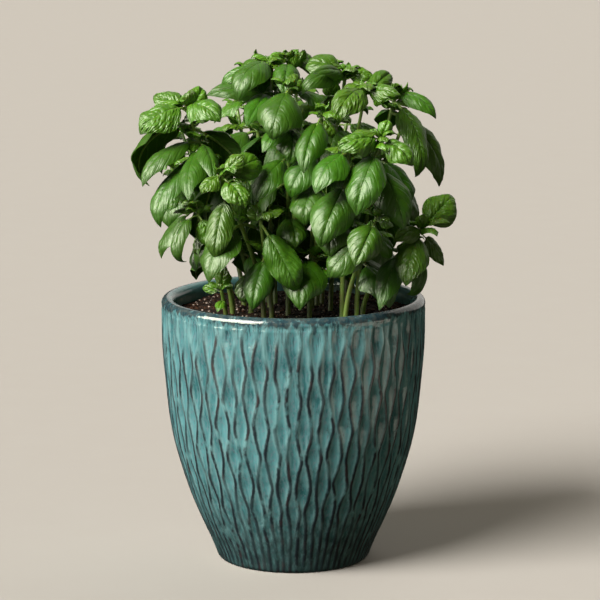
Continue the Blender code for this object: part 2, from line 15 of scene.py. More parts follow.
import bmesh
import bpy
from mathutils import Matrix, Vector, noise
from mathutils.bvhtree import BVHTree


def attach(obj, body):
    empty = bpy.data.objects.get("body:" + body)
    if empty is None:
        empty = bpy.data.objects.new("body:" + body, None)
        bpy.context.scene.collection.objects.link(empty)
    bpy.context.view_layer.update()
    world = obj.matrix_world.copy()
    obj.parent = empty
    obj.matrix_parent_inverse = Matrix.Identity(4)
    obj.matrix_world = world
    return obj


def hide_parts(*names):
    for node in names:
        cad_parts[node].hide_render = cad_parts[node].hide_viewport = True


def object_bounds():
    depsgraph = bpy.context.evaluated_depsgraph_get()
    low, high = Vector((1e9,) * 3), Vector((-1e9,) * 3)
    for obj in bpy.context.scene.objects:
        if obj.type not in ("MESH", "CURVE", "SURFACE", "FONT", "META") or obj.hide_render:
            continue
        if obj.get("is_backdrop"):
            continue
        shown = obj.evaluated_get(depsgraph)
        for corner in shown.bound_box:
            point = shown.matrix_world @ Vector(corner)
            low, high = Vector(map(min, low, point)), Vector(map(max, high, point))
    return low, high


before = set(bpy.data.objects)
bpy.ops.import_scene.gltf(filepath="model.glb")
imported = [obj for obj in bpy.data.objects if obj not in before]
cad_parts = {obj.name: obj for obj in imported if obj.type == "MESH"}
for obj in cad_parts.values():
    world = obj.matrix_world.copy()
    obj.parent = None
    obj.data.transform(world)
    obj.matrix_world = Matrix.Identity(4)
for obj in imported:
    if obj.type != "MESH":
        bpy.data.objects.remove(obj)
CAD_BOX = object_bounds()
BODY = "root"
LOG = logging.getLogger("potted_basil")

MM = 0.001
SEED = 7
SHARP_ANGLE = 55.0  # degrees
SAME_PLACE = 1e-6  # points nearer than this are one, metres
NOISE_ROUGHNESS = 0.55  # how strong the finer layers of a material's noise are

# The pot, mm
POT_WALL = (  # height and outer radius, up the outside
    (0.0, 57.8), (12.0, 62.4), (30.0, 70.5), (50.0, 78.7), (75.0, 86.8),
    (100.0, 93.1), (130.0, 96.8), (165.0, 99.7), (197.0, 100.1),
)
POT_LIP = (  # height and radius, over the rolled lip from outside to inside
    (194.0, 99.6), (197.5, 100.1), (200.4, 98.9), (202.0, 96.0), (201.0, 92.6), (198.4, 90.4), (195.0, 89.6),
)
WALL_THICKNESS = 10.0
FLOOR_HEIGHT = 13.0
INSIDE_HEIGHTS = (50.0, 100.0, 186.0)
INSIDE_SEGMENTS = 38
SOIL_TOP = 190.0

# The loose bits on the soil
LUMP_CHANCE = (0.75, 1.2)  # how far out each corner lies, as a share of the radius
LUMP_TILT = 0.6  # radians

# The stems, mm
STEM_RADIUS = 2.2
STEM_TAPER = 0.45
STEM_DEPTH = 16.0
STEM_START = 2.0
STEM_POINTS = 8
LOW_BEND = (0.06, 0.42)  # shares of the lean and of the rise that pull the lower half
HIGH_BEND = (0.28, 0.30)  # and that pull the upper half, back from the tip

# The leaves as the solids hold them, mm and degrees
STALK_SHARE = 0.17
STALK_WIDTH = 1.7
STALK_THICKNESS = 1.4
ROOT_STEP = 0.45
BLADE_THICKNESS = 1.5
BLADE_STATIONS = (0.17, 0.46, 0.80)
SMALL_STATIONS = (0.30, 0.74)
SMALL_LEAF = 22.0
FOLD = 20.0
SLENDER = 0.66  # width of a leaf set by rule, as a share of its length
UPWARD = 0.6
OUTWARD = 0.8
CLEARANCE = 0.5

# The leaves set by rule, mm and degrees: pairs up the stem, the youngest short and raised, and a tuft
PAIR_LENGTH = (46, 56)
PAIR_RISE = (-56, -26)
PAIR_ARCH = (28, 44)
PAIR_WANDER = 14
YOUNG_FROM = 0.72
YOUNG_SPAN = 0.26
YOUNG_SHORTER = 0.62
YOUNG_RISE = 62
TUFT_SHARE = 0.93
TUFT_RISE = 12.0
TUFT_LENGTH = 23.0
TUFT_ARCH = 36.0

# How far the plant's leaves go, mm
LEAF_REACH = (124.5, 109.0)  # from the axis, across and in depth
LEAF_TOP = 384.0
LEAF_FLOOR = 206.0
CHECKED_SHARES = (0.3, 0.6, 1.0)  # the places on a midrib that are held within that

# What is tried, in this order, where a leaf would cross another
NARROWER = (1.0, 0.88, 0.76)
NEARER_OR_FURTHER = (0, 4, -4, 8, -8, 13, -13, 19, -19, 26, -26)
SIGHT_FALL = 0.18  # how far the front view's lines of sight fall with each mm towards the back
SHORTER = (1.0, 0.85, 0.7)
TILTED = (0, 14, -14, 28)
TURNED = (0, 16, -16, 32, -32, 48, -48)

# The fine leaves' outline: half widths, and how it closes towards the two ends
NARROWEST = 0.03  # half the width at the two ends, as a share of the widest
BROADEST = 0.64  # the widest that a leaf gets, as a share of its span
WIDEST_LOW = 0.66  # the lower, the nearer to its base a leaf is widest
WIDEST_CHANCE = 0.18  # what chance adds to that
BLUNT, POINTED = 0.62, 0.80  # how the outline closes at the base and at the tip
POINTED_FROM, POINTED_BY = 0.45, 0.95  # the shares of the blade between which it draws in to a point

# The fine leaves' bearing: how each hangs, bulges, twists and rolls under
MARGIN_HANG = (46, 70)  # degrees
HANG_AT_TIP = 0.6  # the share of it that is left at the tip
HANG_LEAD = 0.15  # how far below the middle of the blade it is fullest, as a share of the blade
HANG_UNEVEN = 0.25  # how much the two sides may differ
DOME = (0.02, 0.11)  # as shares of half the width
DOME_LEAN = 0.8  # the lower, the nearer to the midrib a dome is highest
DOME_FADE = 0.6  # how much flatter it is at the tip
MARGIN_WAVE = (0.04, 0.13)  # as shares of half the width
WAVES = 1.6  # how many there are along a margin
WAVE_SHIFT = 0.37  # how far each margin's waves are shifted, as a share of one
TWIST = 0.4  # radians
TWIST_FROM = 0.3  # the share of the blade at which it isn't twisted
ROLL_FROM, ROLL_BY = 0.58, 1.1  # the shares of the blade between which its tip rolls under
TIP_ROLL = (0, 75)  # degrees
BEND_FROM = 0.5  # the share of a leaf's span past which it is moved whole, to stay inside the solids' box

# The fine leaves' surface, mm: lateral veins leave the midrib in pairs and bend towards the tip
LEAF_THICKNESS = 0.45
VEIN_PAIRS = 5
VEIN_SWEEP = 0.40
VEIN_BEND = 1.3
VEIN_STAGGER = 0.03  # how far the two of a pair are shifted from its middle, as a share of the blade
CREASE_DEPTH = 0.5
CREASE_WIDTH = 1.1
CREASE_FULL = 6.0  # half the width from which the crease has its full depth
QUILT, YOUNG_QUILT = 0.014, 0.036  # height of the puffs as a share of the width, and what youth adds
QUILT_CHANCE = (0.6, 1.4)
QUILT_FULL = 26.0  # the span from which the puffs have their full height
BLISTER = 3.6  # how far apart the puffs stand along a vein
CRINKLE, YOUNG_CRINKLE = 0.32, 0.42  # height of the finest bulges, and what youth adds
CRINKLE_SHARE = 0.035  # the most that they reach, as a share of the width
CRINKLE_GRAIN = 4.2
CRINKLE_FULL = 4.0  # half the width from which they have their full height
YOUNG_GRAIN = 0.4  # how much finer a young leaf's bulges are
SWELL = 0.13  # how high the broad bulges stand, as a share of half the width
SWELL_SHARE = 0.36  # the finest bulges' grain as a share of the broad ones'
NET_GRAIN = 2.9  # how wide the puffs between the finest veins are
NET_LENGTH = 3.3  # and how long, towards the margin

# The stalk and the rib that it goes on as, mm
RIB_STEP = 3  # rows of faces between the rib's points
RIB_SHARE = 1 / 30  # its radius as a share of the leaf's width
RIB_THINNEST = 0.25
RIB_TAPER = 0.72
RIB_SINK = 0.9  # how far it hangs below the blade, as a share of its radius
STALK_YOUTH = 0.3  # how young a stalk's colour is at least, from 0 to 1
STEM_YOUTH = 0.15  # and how young a stem's is

# The young leaves, mm and degrees
GROWN_SPAN = 46.0
YOUNG_BELOW = 20.0
YOUNG_ARCH = (28, 48)
TIP_PAIRS = ((14.0, 30.0), (10.0, 50.0), (6.5, 68.0))  # length and rise, from the outermost pair inwards
TIP_WANDER = 12
AXIL_FROM = 34.0  # the span of the smallest leaf with a young pair in its axil
AXIL_LIFT = 1.5
AXIL_LENGTH = (10, 23)
AXIL_RISE = (-5, 50)
AXIL_TURN = 48
AXIL_WANDER = 20
AXIL_BUD_RISE = 66.0
AXIL_BUD_LENGTH = 6.5


@dataclass(frozen=True)
class Leaf:
    """A leaf that the photograph shows.

    Attributes:
        share: how far up the stem it starts.
        tip: where it ends.
        width: the widest that its solid is.
        arch: half the angle that its midrib turns through, degrees.
        facing: the way its upper side faces in plan, degrees.
        slim: the fine leaf's width as a share of the solid's.
        young: how young it looks at least, from 0, grown, to 1, just opened.
    """

    share: float
    tip: tuple[float, float, float]
    width: float
    arch: float
    facing: float
    slim: float = 0.93
    young: float = 0.0


@dataclass(frozen=True)
class Shoot:
    """A stem with its leaves.

    Attributes:
        name: the node's name.
        foot: where it leaves the soil, in plan.
        tip: where it ends.
        leaves: its leaves that the photograph shows.
        pairs: the pairs set by rule: how many, the lowest and highest share, and the first one's azimuth.
    """

    name: str
    foot: tuple[float, float]
    tip: tuple[float, float, float]
    leaves: tuple[Leaf, ...]
    pairs: tuple[int, float, float, float] = (0, 0.4, 0.9, 0)


SHOOTS = (
    Shoot("basil_left_crown", (-32, -8), (-79, -42, 351), (
        Leaf(0.985, (-114, -62, 333), 30, 42, 250, 0.93, 0.6),
        Leaf(0.985, (-52, -72, 344), 30, 42, 290, 0.93, 0.5),
        Leaf(0.955, (-104, -30, 358), 21, 35, 240),
        Leaf(0.955, (-66, -28, 365), 18, 45, 300),
        Leaf(0.87, (-114, -46, 290), 38, 80, 138),
        Leaf(0.87, (-37, -44, 306), 36, 40, 110),
        Leaf(0.76, (-106, -76, 266), 33, 26, 225, 0.72),
        Leaf(0.80, (-113, -66, 296), 24, 40, 225),
        Leaf(0.77, (-77, -88, 289), 27, 26, 240, 0.88),
        Leaf(0.80, (-57, -76, 300), 18, 30, 300),
        Leaf(0.70, (-82, -52, 285), 19, 30, 250),
    ), (3, 0.24, 0.60, 120)),
    Shoot("basil_left_mid", (-22, -38), (-52, -82, 306), (
        Leaf(0.985, (-35, -84, 320), 17, 25, 280),
        Leaf(0.985, (-68, -94, 293), 17, 30, 240),
        Leaf(0.95, (-33, -100, 282), 31, 38, 290, 0.90, 0.7),
        Leaf(0.95, (-21, -60, 314), 24, 45, 285, 0.93, 0.4),
        Leaf(0.86, (-58, -98, 242), 26, 22, 260, 0.80, 0.3),
        Leaf(0.86, (-30, -62, 271), 26, 40, 290),
    ), (2, 0.28, 0.60, 100)),
    Shoot("basil_left_low", (-46, -16), (-70, -58, 273), (
        Leaf(0.985, (-83, -72, 233), 16, 66, 222),
        Leaf(0.985, (-57, -62, 247), 19, 30, 280),
        Leaf(0.80, (-74, -50, 240), 16, 40, 200),
        Leaf(0.80, (-54, -56, 220), 21, 30, 270),
    )),
    Shoot("basil_upper_left", (-18, 12), (-16, -8, 378), (
        Leaf(0.985, (-44, -46, 356), 30, 58, 245),
        Leaf(0.985, (-31, 6, 344), 32, 45, 110),
        Leaf(0.95, (-57, -10, 364), 18, 50, 230),
        Leaf(0.95, (-39, 10, 375), 16, 58, 230),
        Leaf(0.84, (-34, -62, 339), 24, 40, 270),
        Leaf(0.84, (-65, 0, 354), 19, 40, 240),
    ), (2, 0.45, 0.68, 30)),
    Shoot("basil_top_centre", (2, 14), (-4, -4, 382), (
        Leaf(0.99, (4, -4, 389), 10, 20, 290),
        Leaf(0.99, (-20, -10, 384), 13, 30, 260),
        Leaf(0.96, (-7, -42, 359), 22, 50, 270),
        Leaf(0.96, (17, 25, 377), 21, 45, 290),
    ), (2, 0.66, 0.84, 75)),
    Shoot("basil_centre_front", (-4, -22), (-3, -50, 365), (
        Leaf(0.985, (-17, -88, 329), 41, 44, 265),
        Leaf(0.985, (6, -22, 369), 16, 35, 300),
        Leaf(0.80, (-23, -78, 322), 19, 40, 260),
        Leaf(0.80, (-2, -80, 311), 28, 50, 290),
        Leaf(0.66, (-30, -72, 284), 26, 35, 260),
    ), (3, 0.22, 0.54, 20)),
    Shoot("basil_centre_right", (12, -30), (21, -56, 348), (
        Leaf(0.97, (6, -92, 308), 29, 30, 255, 0.78),
        Leaf(0.97, (31, -60, 328), 19, 35, 290),
        Leaf(0.78, (-5, -70, 285), 26, 40, 260),
    ), (3, 0.24, 0.62, 60)),
    Shoot("basil_top_right", (14, 12), (39, -16, 373), (
        Leaf(0.985, (5, -14, 380), 26, 60, 265),
        Leaf(0.985, (61, -20, 369), 16, 50, 280),
        Leaf(0.95, (15, -38, 374), 16, 40, 265),
        Leaf(0.95, (1, -46, 361), 19, 55, 255),
        Leaf(0.88, (17, -36, 341), 29, 45, 150),
    ), (2, 0.50, 0.74, 30)),
    Shoot("basil_right_top", (28, -4), (53, -34, 362), (
        Leaf(0.985, (78, -52, 360), 18, 38, 280),
        Leaf(0.985, (29, -72, 341), 29, 50, 255, 0.90, 0.7),
        Leaf(0.96, (35, -54, 363), 15, 40, 260),
        Leaf(0.96, (74, 8, 369), 17, 50, 290),
    ), (1, 0.60, 0.60, 80)),
    Shoot("basil_right", (40, 8), (77, 6, 355), (
        Leaf(0.985, (108, -14, 339), 19, 52, 300),
        Leaf(0.985, (61, 30, 348), 19, 40, 240),
        Leaf(0.95, (97, -34, 292), 34, 44, 300, 0.70, 0.45),
        Leaf(0.95, (90, 48, 343), 21, 40, 60),
        Leaf(0.90, (114, 4, 284), 39, 44, 310, 0.72, 0.3),
        Leaf(0.90, (71, 40, 324), 24, 40, 90),
    ), (2, 0.45, 0.66, 40)),
    Shoot("basil_front_right", (47, -36), (63, -82, 332), (
        Leaf(0.985, (29, -98, 325), 24, 46, 258, 0.93, 0.6),
        Leaf(0.985, (87, -94, 313), 27, 42, 290, 0.93, 0.65),
        Leaf(0.985, (69, -80, 346), 12, 20, 290),
        Leaf(0.97, (50, -98, 324), 10, 30, 260),
        Leaf(0.93, (43, -108, 278), 34, 34, 262, 0.86),
        Leaf(0.84, (81, -84, 265), 30, 30, 285),
    ), (2, 0.26, 0.60, 110)),
    Shoot("basil_front_centre", (36, -46), (40, -76, 322), (
        Leaf(0.985, (14, -104, 295), 30, 40, 240),
        Leaf(0.985, (21, -70, 285), 28, 40, 100),
        Leaf(0.80, (18, -106, 255), 40, 26, 268, 0.78),
        Leaf(0.80, (71, -60, 289), 21, 35, 290),
    ), (2, 0.24, 0.56, 150)),
    Shoot("basil_right_low", (52, -20), (95, -50, 261), (
        Leaf(0.985, (121, -30, 285), 32, 22, 285, 0.82, 0.6),
        Leaf(0.985, (73, -72, 255), 16, 35, 270),
        Leaf(0.95, (81, -80, 223), 28, 30, 262, 0.90, 0.4),
        Leaf(0.95, (113, -40, 231), 16, 30, 290),
        Leaf(0.80, (87, -62, 206), 17, 55, 330),
        Leaf(0.66, (62, -84, 207), 26, 32, 268, 0.76),
    )),
    Shoot("basil_front_low", (38, -60), (60, -84, 275), (
        Leaf(0.97, (44, -106, 242), 32, 34, 285),
        Leaf(0.97, (73, -80, 267), 13, 30, 280),
        Leaf(0.80, (21, -96, 230), 28, 34, 270),
        Leaf(0.80, (75, -60, 242), 19, 30, 290),
    )),
    Shoot("basil_centre_low", (-16, -54), (-24, -70, 270), (
        Leaf(0.97, (6, -76, 214), 29, 24, 268, 0.84, 0.25),
        Leaf(0.97, (-33, -60, 281), 17, 35, 270),
        Leaf(0.62, (-31, -88, 205), 27, 26, 265, 0.80),
        Leaf(0.62, (-6, -50, 231), 21, 30, 280),
    )),
    Shoot("basil_sprig", (-50, -44), (-53, -56, 216), (
        Leaf(0.97, (-51, -58, 234), 14, 14, 270),
        Leaf(0.90, (-69, -44, 218), 9, 15, 270),
        Leaf(0.55, (-56, -68, 203), 9, 25, 270),
    )),
    Shoot("basil_back_left", (-38, 22), (-86, 44, 322), (), (6, 0.28, 0.98, 140)),
    Shoot("basil_back_mid_left", (-20, 38), (-44, 78, 338), (), (7, 0.28, 0.98, 110)),
    Shoot("basil_back_centre", (2, 44), (2, 86, 346), (), (6, 0.28, 0.98, 95)),
    Shoot("basil_back_mid_right", (22, 36), (44, 74, 342), (), (7, 0.28, 0.98, 60)),
    Shoot("basil_back_right", (38, 26), (84, 52, 326), (), (6, 0.28, 0.98, 40)),
    Shoot("basil_back_top_left", (-14, 26), (-34, 38, 370), (), (5, 0.42, 0.98, 80)),
    Shoot("basil_back_top_right", (18, 24), (30, 40, 372), (), (5, 0.42, 0.98, 115)),
    Shoot("basil_far_left", (-46, 4), (-92, 2, 300), (), (3, 0.66, 0.98, 170)),
)


@dataclass(frozen=True)
class Blade:
    """A leaf set in place.

    Attributes:
        base: the point in the stem that its midrib starts from.
        tip: where it ends.
        width: the widest that its solid is.
        arch: half the angle that its midrib turns through, degrees.
        facing: the way its upper side faces in plan, degrees.
        slim: the fine leaf's width as a share of the solid's.
        young: how young it looks at least, from 0 to 1.
    """

    base: Vector
    tip: Vector
    width: float
    arch: float
    facing: float
    slim: float = 0.93
    young: float = 0.0

    @property
    def span(self) -> float:
        """The straight distance from the stem to the tip."""
        return (self.tip - self.base).length

    @property
    def is_small(self) -> bool:
        """Whether it is one of the young leaves at a shoot's tip."""
        return self.span < SMALL_LEAF

    def frame(self, share: float) -> tuple[Vector, Vector, Vector, Vector]:
        """Finds a place on the midrib.

        Args:
            share: how far along the midrib, from 0 in the stem to 1 at the tip.

        Returns:
            The point, the midrib's direction, the upper face's normal and the direction to the side.
        """
        chord = (self.tip - self.base).normalized()
        turn = math.radians(self.facing)
        hint = Vector((OUTWARD * math.cos(turn), OUTWARD * math.sin(turn), UPWARD))
        lift = (hint - hint.dot(chord) * chord).normalized()
        half_arch = math.radians(self.arch)
        bow = self.span / (2 * math.sin(half_arch))
        angle = half_arch * (1 - 2 * share)
        along = math.cos(angle) * chord + math.sin(angle) * lift
        normal = math.cos(angle) * lift - math.sin(angle) * chord
        rise = math.cos(angle) - math.cos(half_arch)
        point = self.base + bow * ((math.sin(half_arch) - math.sin(angle)) * chord + rise * lift)
        return point, along, normal, along.cross(normal)


def outline(share: float) -> float:
    """Half width of a basil leaf at this share of its blade, as a share of the widest."""
    return math.sin(math.pi * share ** 0.8) ** 0.75


def smooth_between(points: Sequence[tuple[float, float]], place: float) -> float:
    """Reads a smooth curve.

    Args:
        points: (place, value) pairs in order, which the curve goes through.
        place: where to read it.

    Returns:
        The curve's value there.
    """
    last = len(points) - 2
    index = next((i for i in range(last) if place < points[i + 1][0]), last)
    near = [points[max(0, min(last + 1, index + step))] for step in (-1, 0, 1, 2)]
    span = near[2][0] - near[1][0]
    slopes = []
    for before, after in ((near[0], near[2]), (near[1], near[3])):
        slopes.append((after[1] - before[1]) / (after[0] - before[0]) * span)
    t = (place - near[1][0]) / span
    return (
        near[1][1] * (2 * t ** 3 - 3 * t ** 2 + 1)
        + slopes[0] * (t ** 3 - 2 * t ** 2 + t)
        + near[2][1] * (3 * t ** 2 - 2 * t ** 3)
        + slopes[1] * (t ** 3 - t ** 2)
    )


def turned(radius: float, angle: float, height: float) -> Vector:
    """Point at a radius, an angle counterclockwise seen from above and from the front, and a height."""
    return Vector((radius * math.sin(angle), -radius * math.cos(angle), height))


def inside_radius(height: float) -> float:
    """Radius of the pot's inner wall."""
    return smooth_between(POT_WALL, height) - WALL_THICKNESS


def eased(value: float, start: float, end: float) -> float:
    """A smooth step from 0 at start to 1 at end, either way round."""
    t = min(1.0, max(0.0, (value - start) / (end - start)))
    return t * t * (3 - 2 * t)


def stem_points(shoot: Shoot) -> list[Vector]:
    """Points up a stem: straight up out of the soil, then in one easy bend to the tip."""
    return [Vector((*shoot.foot, SOIL_TOP - STEM_DEPTH)), *stem_bend(shoot, STEM_POINTS)]


def stem_bend(shoot: Shoot, count: int) -> list[Vector]:
    """Reads the bend of a stem above the soil.

    Args:
        shoot: the stem.
        count: how many points to read.

    Returns:
        The points, from just above the soil to the tip.
    """
    start = Vector((*shoot.foot, SOIL_TOP + STEM_START))
    tip = Vector(shoot.tip)
    rise = Vector((0.0, 0.0, tip.z - start.z))
    lean = Vector((tip.x - start.x, tip.y - start.y, 0.0))
    first = start + lean * LOW_BEND[0] + rise * LOW_BEND[1]
    second = tip - lean * HIGH_BEND[0] - rise * HIGH_BEND[1]
    points = []
    for step in range(count):
        t = step / (count - 1)
        u = 1 - t
        points.append(u ** 3 * start + 3 * u * u * t * first + 3 * u * t * t * second + t ** 3 * tip)
    return points


def on_stem(points: Sequence[Vector], share: float) -> Vector:
    """Point at a share of the way up a stem, from where it leaves the soil."""
    place = share * (len(points) - 2) + 1
    index = min(int(place), len(points) - 2)
    return points[index].lerp(points[index + 1], place - index)


def stem_width(share: float) -> float:
    """Radius of a stem at a share of the way up."""
    return STEM_RADIUS * (1 - STEM_TAPER * share)


def leaf_rings(blade: Blade, margin: float = 0.0) -> list[list[Vector]]:
    """Four-cornered sections of a leaf's solid.

    Args:
        blade: the leaf.
        margin: how much to grow it by, mm.

    Returns:
        The corners of each section, from inside the stem to the last one before the tip.
    """
    stalk = STALK_WIDTH / 2
    sections = [(0.0, stalk, STALK_THICKNESS, 0.0)]
    if not blade.is_small:
        sections.append((STALK_SHARE, stalk, STALK_THICKNESS, 0.0))
    for share in SMALL_STATIONS if blade.is_small else BLADE_STATIONS:
        whole = STALK_SHARE + (1 - STALK_SHARE) * share
        sections.append((whole, blade.width / 2 * outline(share), BLADE_THICKNESS, math.radians(FOLD)))
    rings = []
    for share, half, thickness, fold in sections:
        point, along, normal, side = blade.frame(share)
        reach = side * (half + margin)
        drop = normal * half * math.tan(fold)
        lift = normal * (thickness / 2 + margin)
        rings.append([point - reach - drop, point + lift, point + reach - drop, point - lift])
    return rings


def leaf_faces(blade: Blade, first: int = 0, margin: float = 0.0) -> tuple[list[Vector], list[tuple]]:
    """The surface of a leaf's solid.

    Args:
        blade: the leaf.
        first: the section it starts from.
        margin: how much to grow it by, mm.

    Returns:
        Its vertices and faces, from that section to the tip.
    """
    rings = leaf_rings(blade, margin)[first:]
    points = [point for section in rings for point in section]
    points.append(blade.frame(1.0)[0])
    faces = [(3, 2, 1, 0)]
    for low in range(0, 4 * (len(rings) - 1), 4):
        for middle in (low + 1, low + 3):
            for edge in (low, low + 2):
                faces.append((middle, edge, edge + 4))
                faces.append((middle, edge + 4, middle + 4))
    last = 4 * (len(rings) - 1)
    faces += [(last + i, last + (i + 1) % 4, len(points) - 1) for i in range(4)]
    return points, faces


def stem_faces(points: Sequence[Vector], margin: float = 0.0) -> tuple[list[Vector], list[tuple]]:
    """Vertices and faces of a square tube up a stem, which stands for it when leaves are kept clear."""
    corners = []
    for i, point in enumerate(points):
        reach = stem_width(i / (len(points) - 1)) + margin
        for x, y in ((reach, 0), (0, reach), (-reach, 0), (0, -reach)):
            corners.append(point + Vector((x, y, 0.0)))
    faces = []
    for start in range(0, 4 * (len(points) - 1), 4):
        for i in range(4):
            j = (i + 1) % 4
            faces.append((start + i, start + j, start + 4 + j, start + 4 + i))
    return corners, faces


def pot_edge() -> tuple[list[Vector], list[tuple]]:
    """Vertices and faces of the pot's lip and walls."""
    inside = [(height, inside_radius(height)) for height in (FLOOR_HEIGHT, *INSIDE_HEIGHTS)]
    outside = [(height, smooth_between(POT_WALL, height)) for height in (*reversed(INSIDE_HEIGHTS), 0.0)]
    points = []
    profile = inside + list(reversed(POT_LIP)) + outside
    for height, radius in profile:
        points += [turned(radius, math.tau * i / INSIDE_SEGMENTS, height) for i in range(INSIDE_SEGMENTS)]
    faces = []
    for low in range(0, INSIDE_SEGMENTS * (len(profile) - 1), INSIDE_SEGMENTS):
        high = low + INSIDE_SEGMENTS
        for i in range(INSIDE_SEGMENTS):
            j = (i + 1) % INSIDE_SEGMENTS
            faces.append((low + i, low + j, high + j, high + i))
    return points, faces


@dataclass(frozen=True)
class Body:
    """A shape that leaves are kept clear of, with a ball round it for a quick first test."""

    owner: str
    tree: BVHTree
    middle: Vector
    reach: float

    @classmethod
    def of(cls, owner: str, points: Sequence[Vector], faces: Sequence[tuple]) -> "Body":
        """A Body of these vertices and faces."""
        middle = sum(points, Vector()) / len(points)
        reach = max((point - middle).length for point in points)
        return cls(owner, BVHTree.FromPolygons(points, faces), middle, reach)

    def meets(self, other: "Body") -> bool:
        """Whether the two surfaces cross."""
        if (self.middle - other.middle).length > self.reach + other.reach:
            return False
        return bool(self.tree.overlap(other.tree))


class Canopy:
    """The leaves set so far, each clear of every other and of the stems and the pot."""

    def __init__(self, shoots: Sequence[Shoot]) -> None:
        """Starts with the bare stems and the pot."""
        self.shoots = shoots
        self.stems = {shoot.name: stem_points(shoot) for shoot in shoots}
        self.whole = [Body.of("pot", *pot_edge())]
        self.parts: list[Body] = []
        self.blades: dict[str, list[Blade]] = {name: [] for name in self.stems}
        for name, points in self.stems.items():
            self.whole.append(Body.of(name, *stem_faces(points, CLEARANCE)))

    def fits(self, owner: str, blade: Blade) -> bool:
        """Sets a leaf if it is clear: its whole length of other stems' parts, its blade of its own's.

        Args:
            owner: the stem it grows from.
            blade: the leaf.

        Returns:
            Whether it was set.
        """
        whole = Body.of(owner, *leaf_faces(blade, 0, CLEARANCE))
        if any(whole.meets(other) for other in self.whole if other.owner != owner):
            return False
        part = Body.of(owner, *leaf_faces(blade, 1 if blade.is_small else 2, CLEARANCE))
        own_stem = next(other for other in self.whole if other.owner == owner)
        if part.meets(own_stem) or any(part.meets(other) for other in self.parts if other.owner == owner):
            return False
        self.whole.append(whole)
        self.parts.append(part)
        self.blades[owner].append(blade)
        return True

    def root(self, name: str, share: float) -> Vector:
        """Point in a stem that a leaf starts from, a step above or below the one set before it."""
        step = len(self.blades[name]) % 3 - 1
        return on_stem(self.stems[name], share) + Vector((0.0, 0.0, ROOT_STEP * step))

    def add_seen(self, shoot: Shoot, leaf: Leaf) -> bool:
        """Sets a leaf from the table, a little nearer or further and narrower where it would cross."""
        base = self.root(shoot.name, leaf.share)
        for narrow in NARROWER:
            for depth in NEARER_OR_FURTHER:
                tip = Vector(leaf.tip) + Vector((0.0, depth, -SIGHT_FALL * depth))
                blade = Blade(base, tip, leaf.width * narrow, leaf.arch, leaf.facing, leaf.slim, leaf.young)
                if self.fits(shoot.name, blade):
                    return True
        return False

    def add_by_rule(
        self, shoot: Shoot, share: float, azimuth: float, rise: float, length: float, arch: float
    ) -> bool:
        """Sets a leaf of a pair, turned, tilted or shortened where it would cross or reach too far.

        Args:
            shoot: the stem.
            share: how far up the stem the leaf starts.
            azimuth: the way it points in plan, degrees.
            rise: how far it points up, degrees.
            length: from the stem to the tip, mm.
            arch: half the angle that its midrib turns through, degrees.

        Returns:
            Whether there was room for it.
        """
        base = self.root(shoot.name, share)
        for scale in SHORTER:
            for tilt in TILTED:
                for turn in TURNED:
                    plan = math.radians(azimuth + turn)
                    climb = math.radians(rise + tilt)
                    reach = length * scale
                    level = reach * math.cos(climb)
                    way = Vector((level * math.cos(plan), level * math.sin(plan), reach * math.sin(climb)))
                    blade = Blade(base, base + way, SLENDER * reach, arch, azimuth + turn)
                    if within_reach(blade) and self.fits(shoot.name, blade):
                        return True
        return False

    def grow(self) -> None:
        """Lays out every leaf: first the ones seen from the front, then the pairs that fill the plant."""
        draw = random.Random(SEED)
        for shoot in self.shoots:
            for leaf in shoot.leaves:
                self.add_seen(shoot, leaf)
        for shoot in self.shoots:
            count, low, high, start = shoot.pairs
            leaves = []
            for pair in range(count):
                share = low + (high - low) * pair / max(1, count - 1)
                young = max(0.0, (share - YOUNG_FROM) / YOUNG_SPAN)
                length = draw.uniform(*PAIR_LENGTH) * (1 - YOUNG_SHORTER * young)
                rise = draw.uniform(*PAIR_RISE) + YOUNG_RISE * young
                arch = draw.uniform(*PAIR_ARCH)
                for side in (0, 180):
                    azimuth = start + 90 * pair + side + draw.uniform(-PAIR_WANDER, PAIR_WANDER)
                    leaves.append((share, azimuth, rise, length, arch))
            for side in (90, 270) if not shoot.leaves else ():
                azimuth = start + 90 * (count - 1) + side
                leaves.append((TUFT_SHARE, azimuth, TUFT_RISE, TUFT_LENGTH, TUFT_ARCH))
            for leaf in leaves:
                self.add_by_rule(shoot, *leaf)


def within_reach(blade: Blade) -> bool:
    """Whether a leaf set by rule stays inside the plant's outline and above the pot's lip."""
    for share in CHECKED_SHARES:
        point = blade.frame(share)[0]
        spread = blade.width / 2 if share < 1.0 else 0.0
        if abs(point.x) + spread > LEAF_REACH[0] or abs(point.y) + spread > LEAF_REACH[1]:
            return False
        if point.z > LEAF_TOP or point.z - spread / 2 < LEAF_FLOOR:
            return False
    return True


def linear(colour: str) -> tuple[float, float, float, float]:
    """Turns an sRGB hex colour to linear.

    Args:
        colour: such as "#4C8A2C".

    Returns:
        Red, green, blue and an alpha of 1, linear.
    """
    parts = [int(colour[i:i + 2], 16) / 255 for i in (1, 3, 5)]
    return (*[p / 12.92 if p <= 0.04045 else ((p + 0.055) / 1.055) ** 2.4 for p in parts], 1.0)


def add_node(
    tree: bpy.types.NodeTree,
    kind: str,
    settings: dict[str, object] | None = None,
    links: dict[str | int, object] | None = None,
) -> bpy.types.Node:
    """Adds a shader node with its settings and links.

    Args:
        tree: the material's node tree.
        kind: the node's type without "ShaderNode".
        settings: values of the node's own properties.
        links: for each input, by name or number, a socket to link, or a value; a hex colour is turned linear.

    Returns:
        The node.
    """
    node = tree.nodes.new(f"ShaderNode{kind}")
    for name, value in (settings or {}).items():
        setattr(node, name, value)
    for name, value in (links or {}).items():
        if isinstance(value, bpy.types.NodeSocket):
            tree.links.new(value, node.inputs[name])
        else:
            node.inputs[name].default_value = linear(value) if isinstance(value, str) else value
    return node


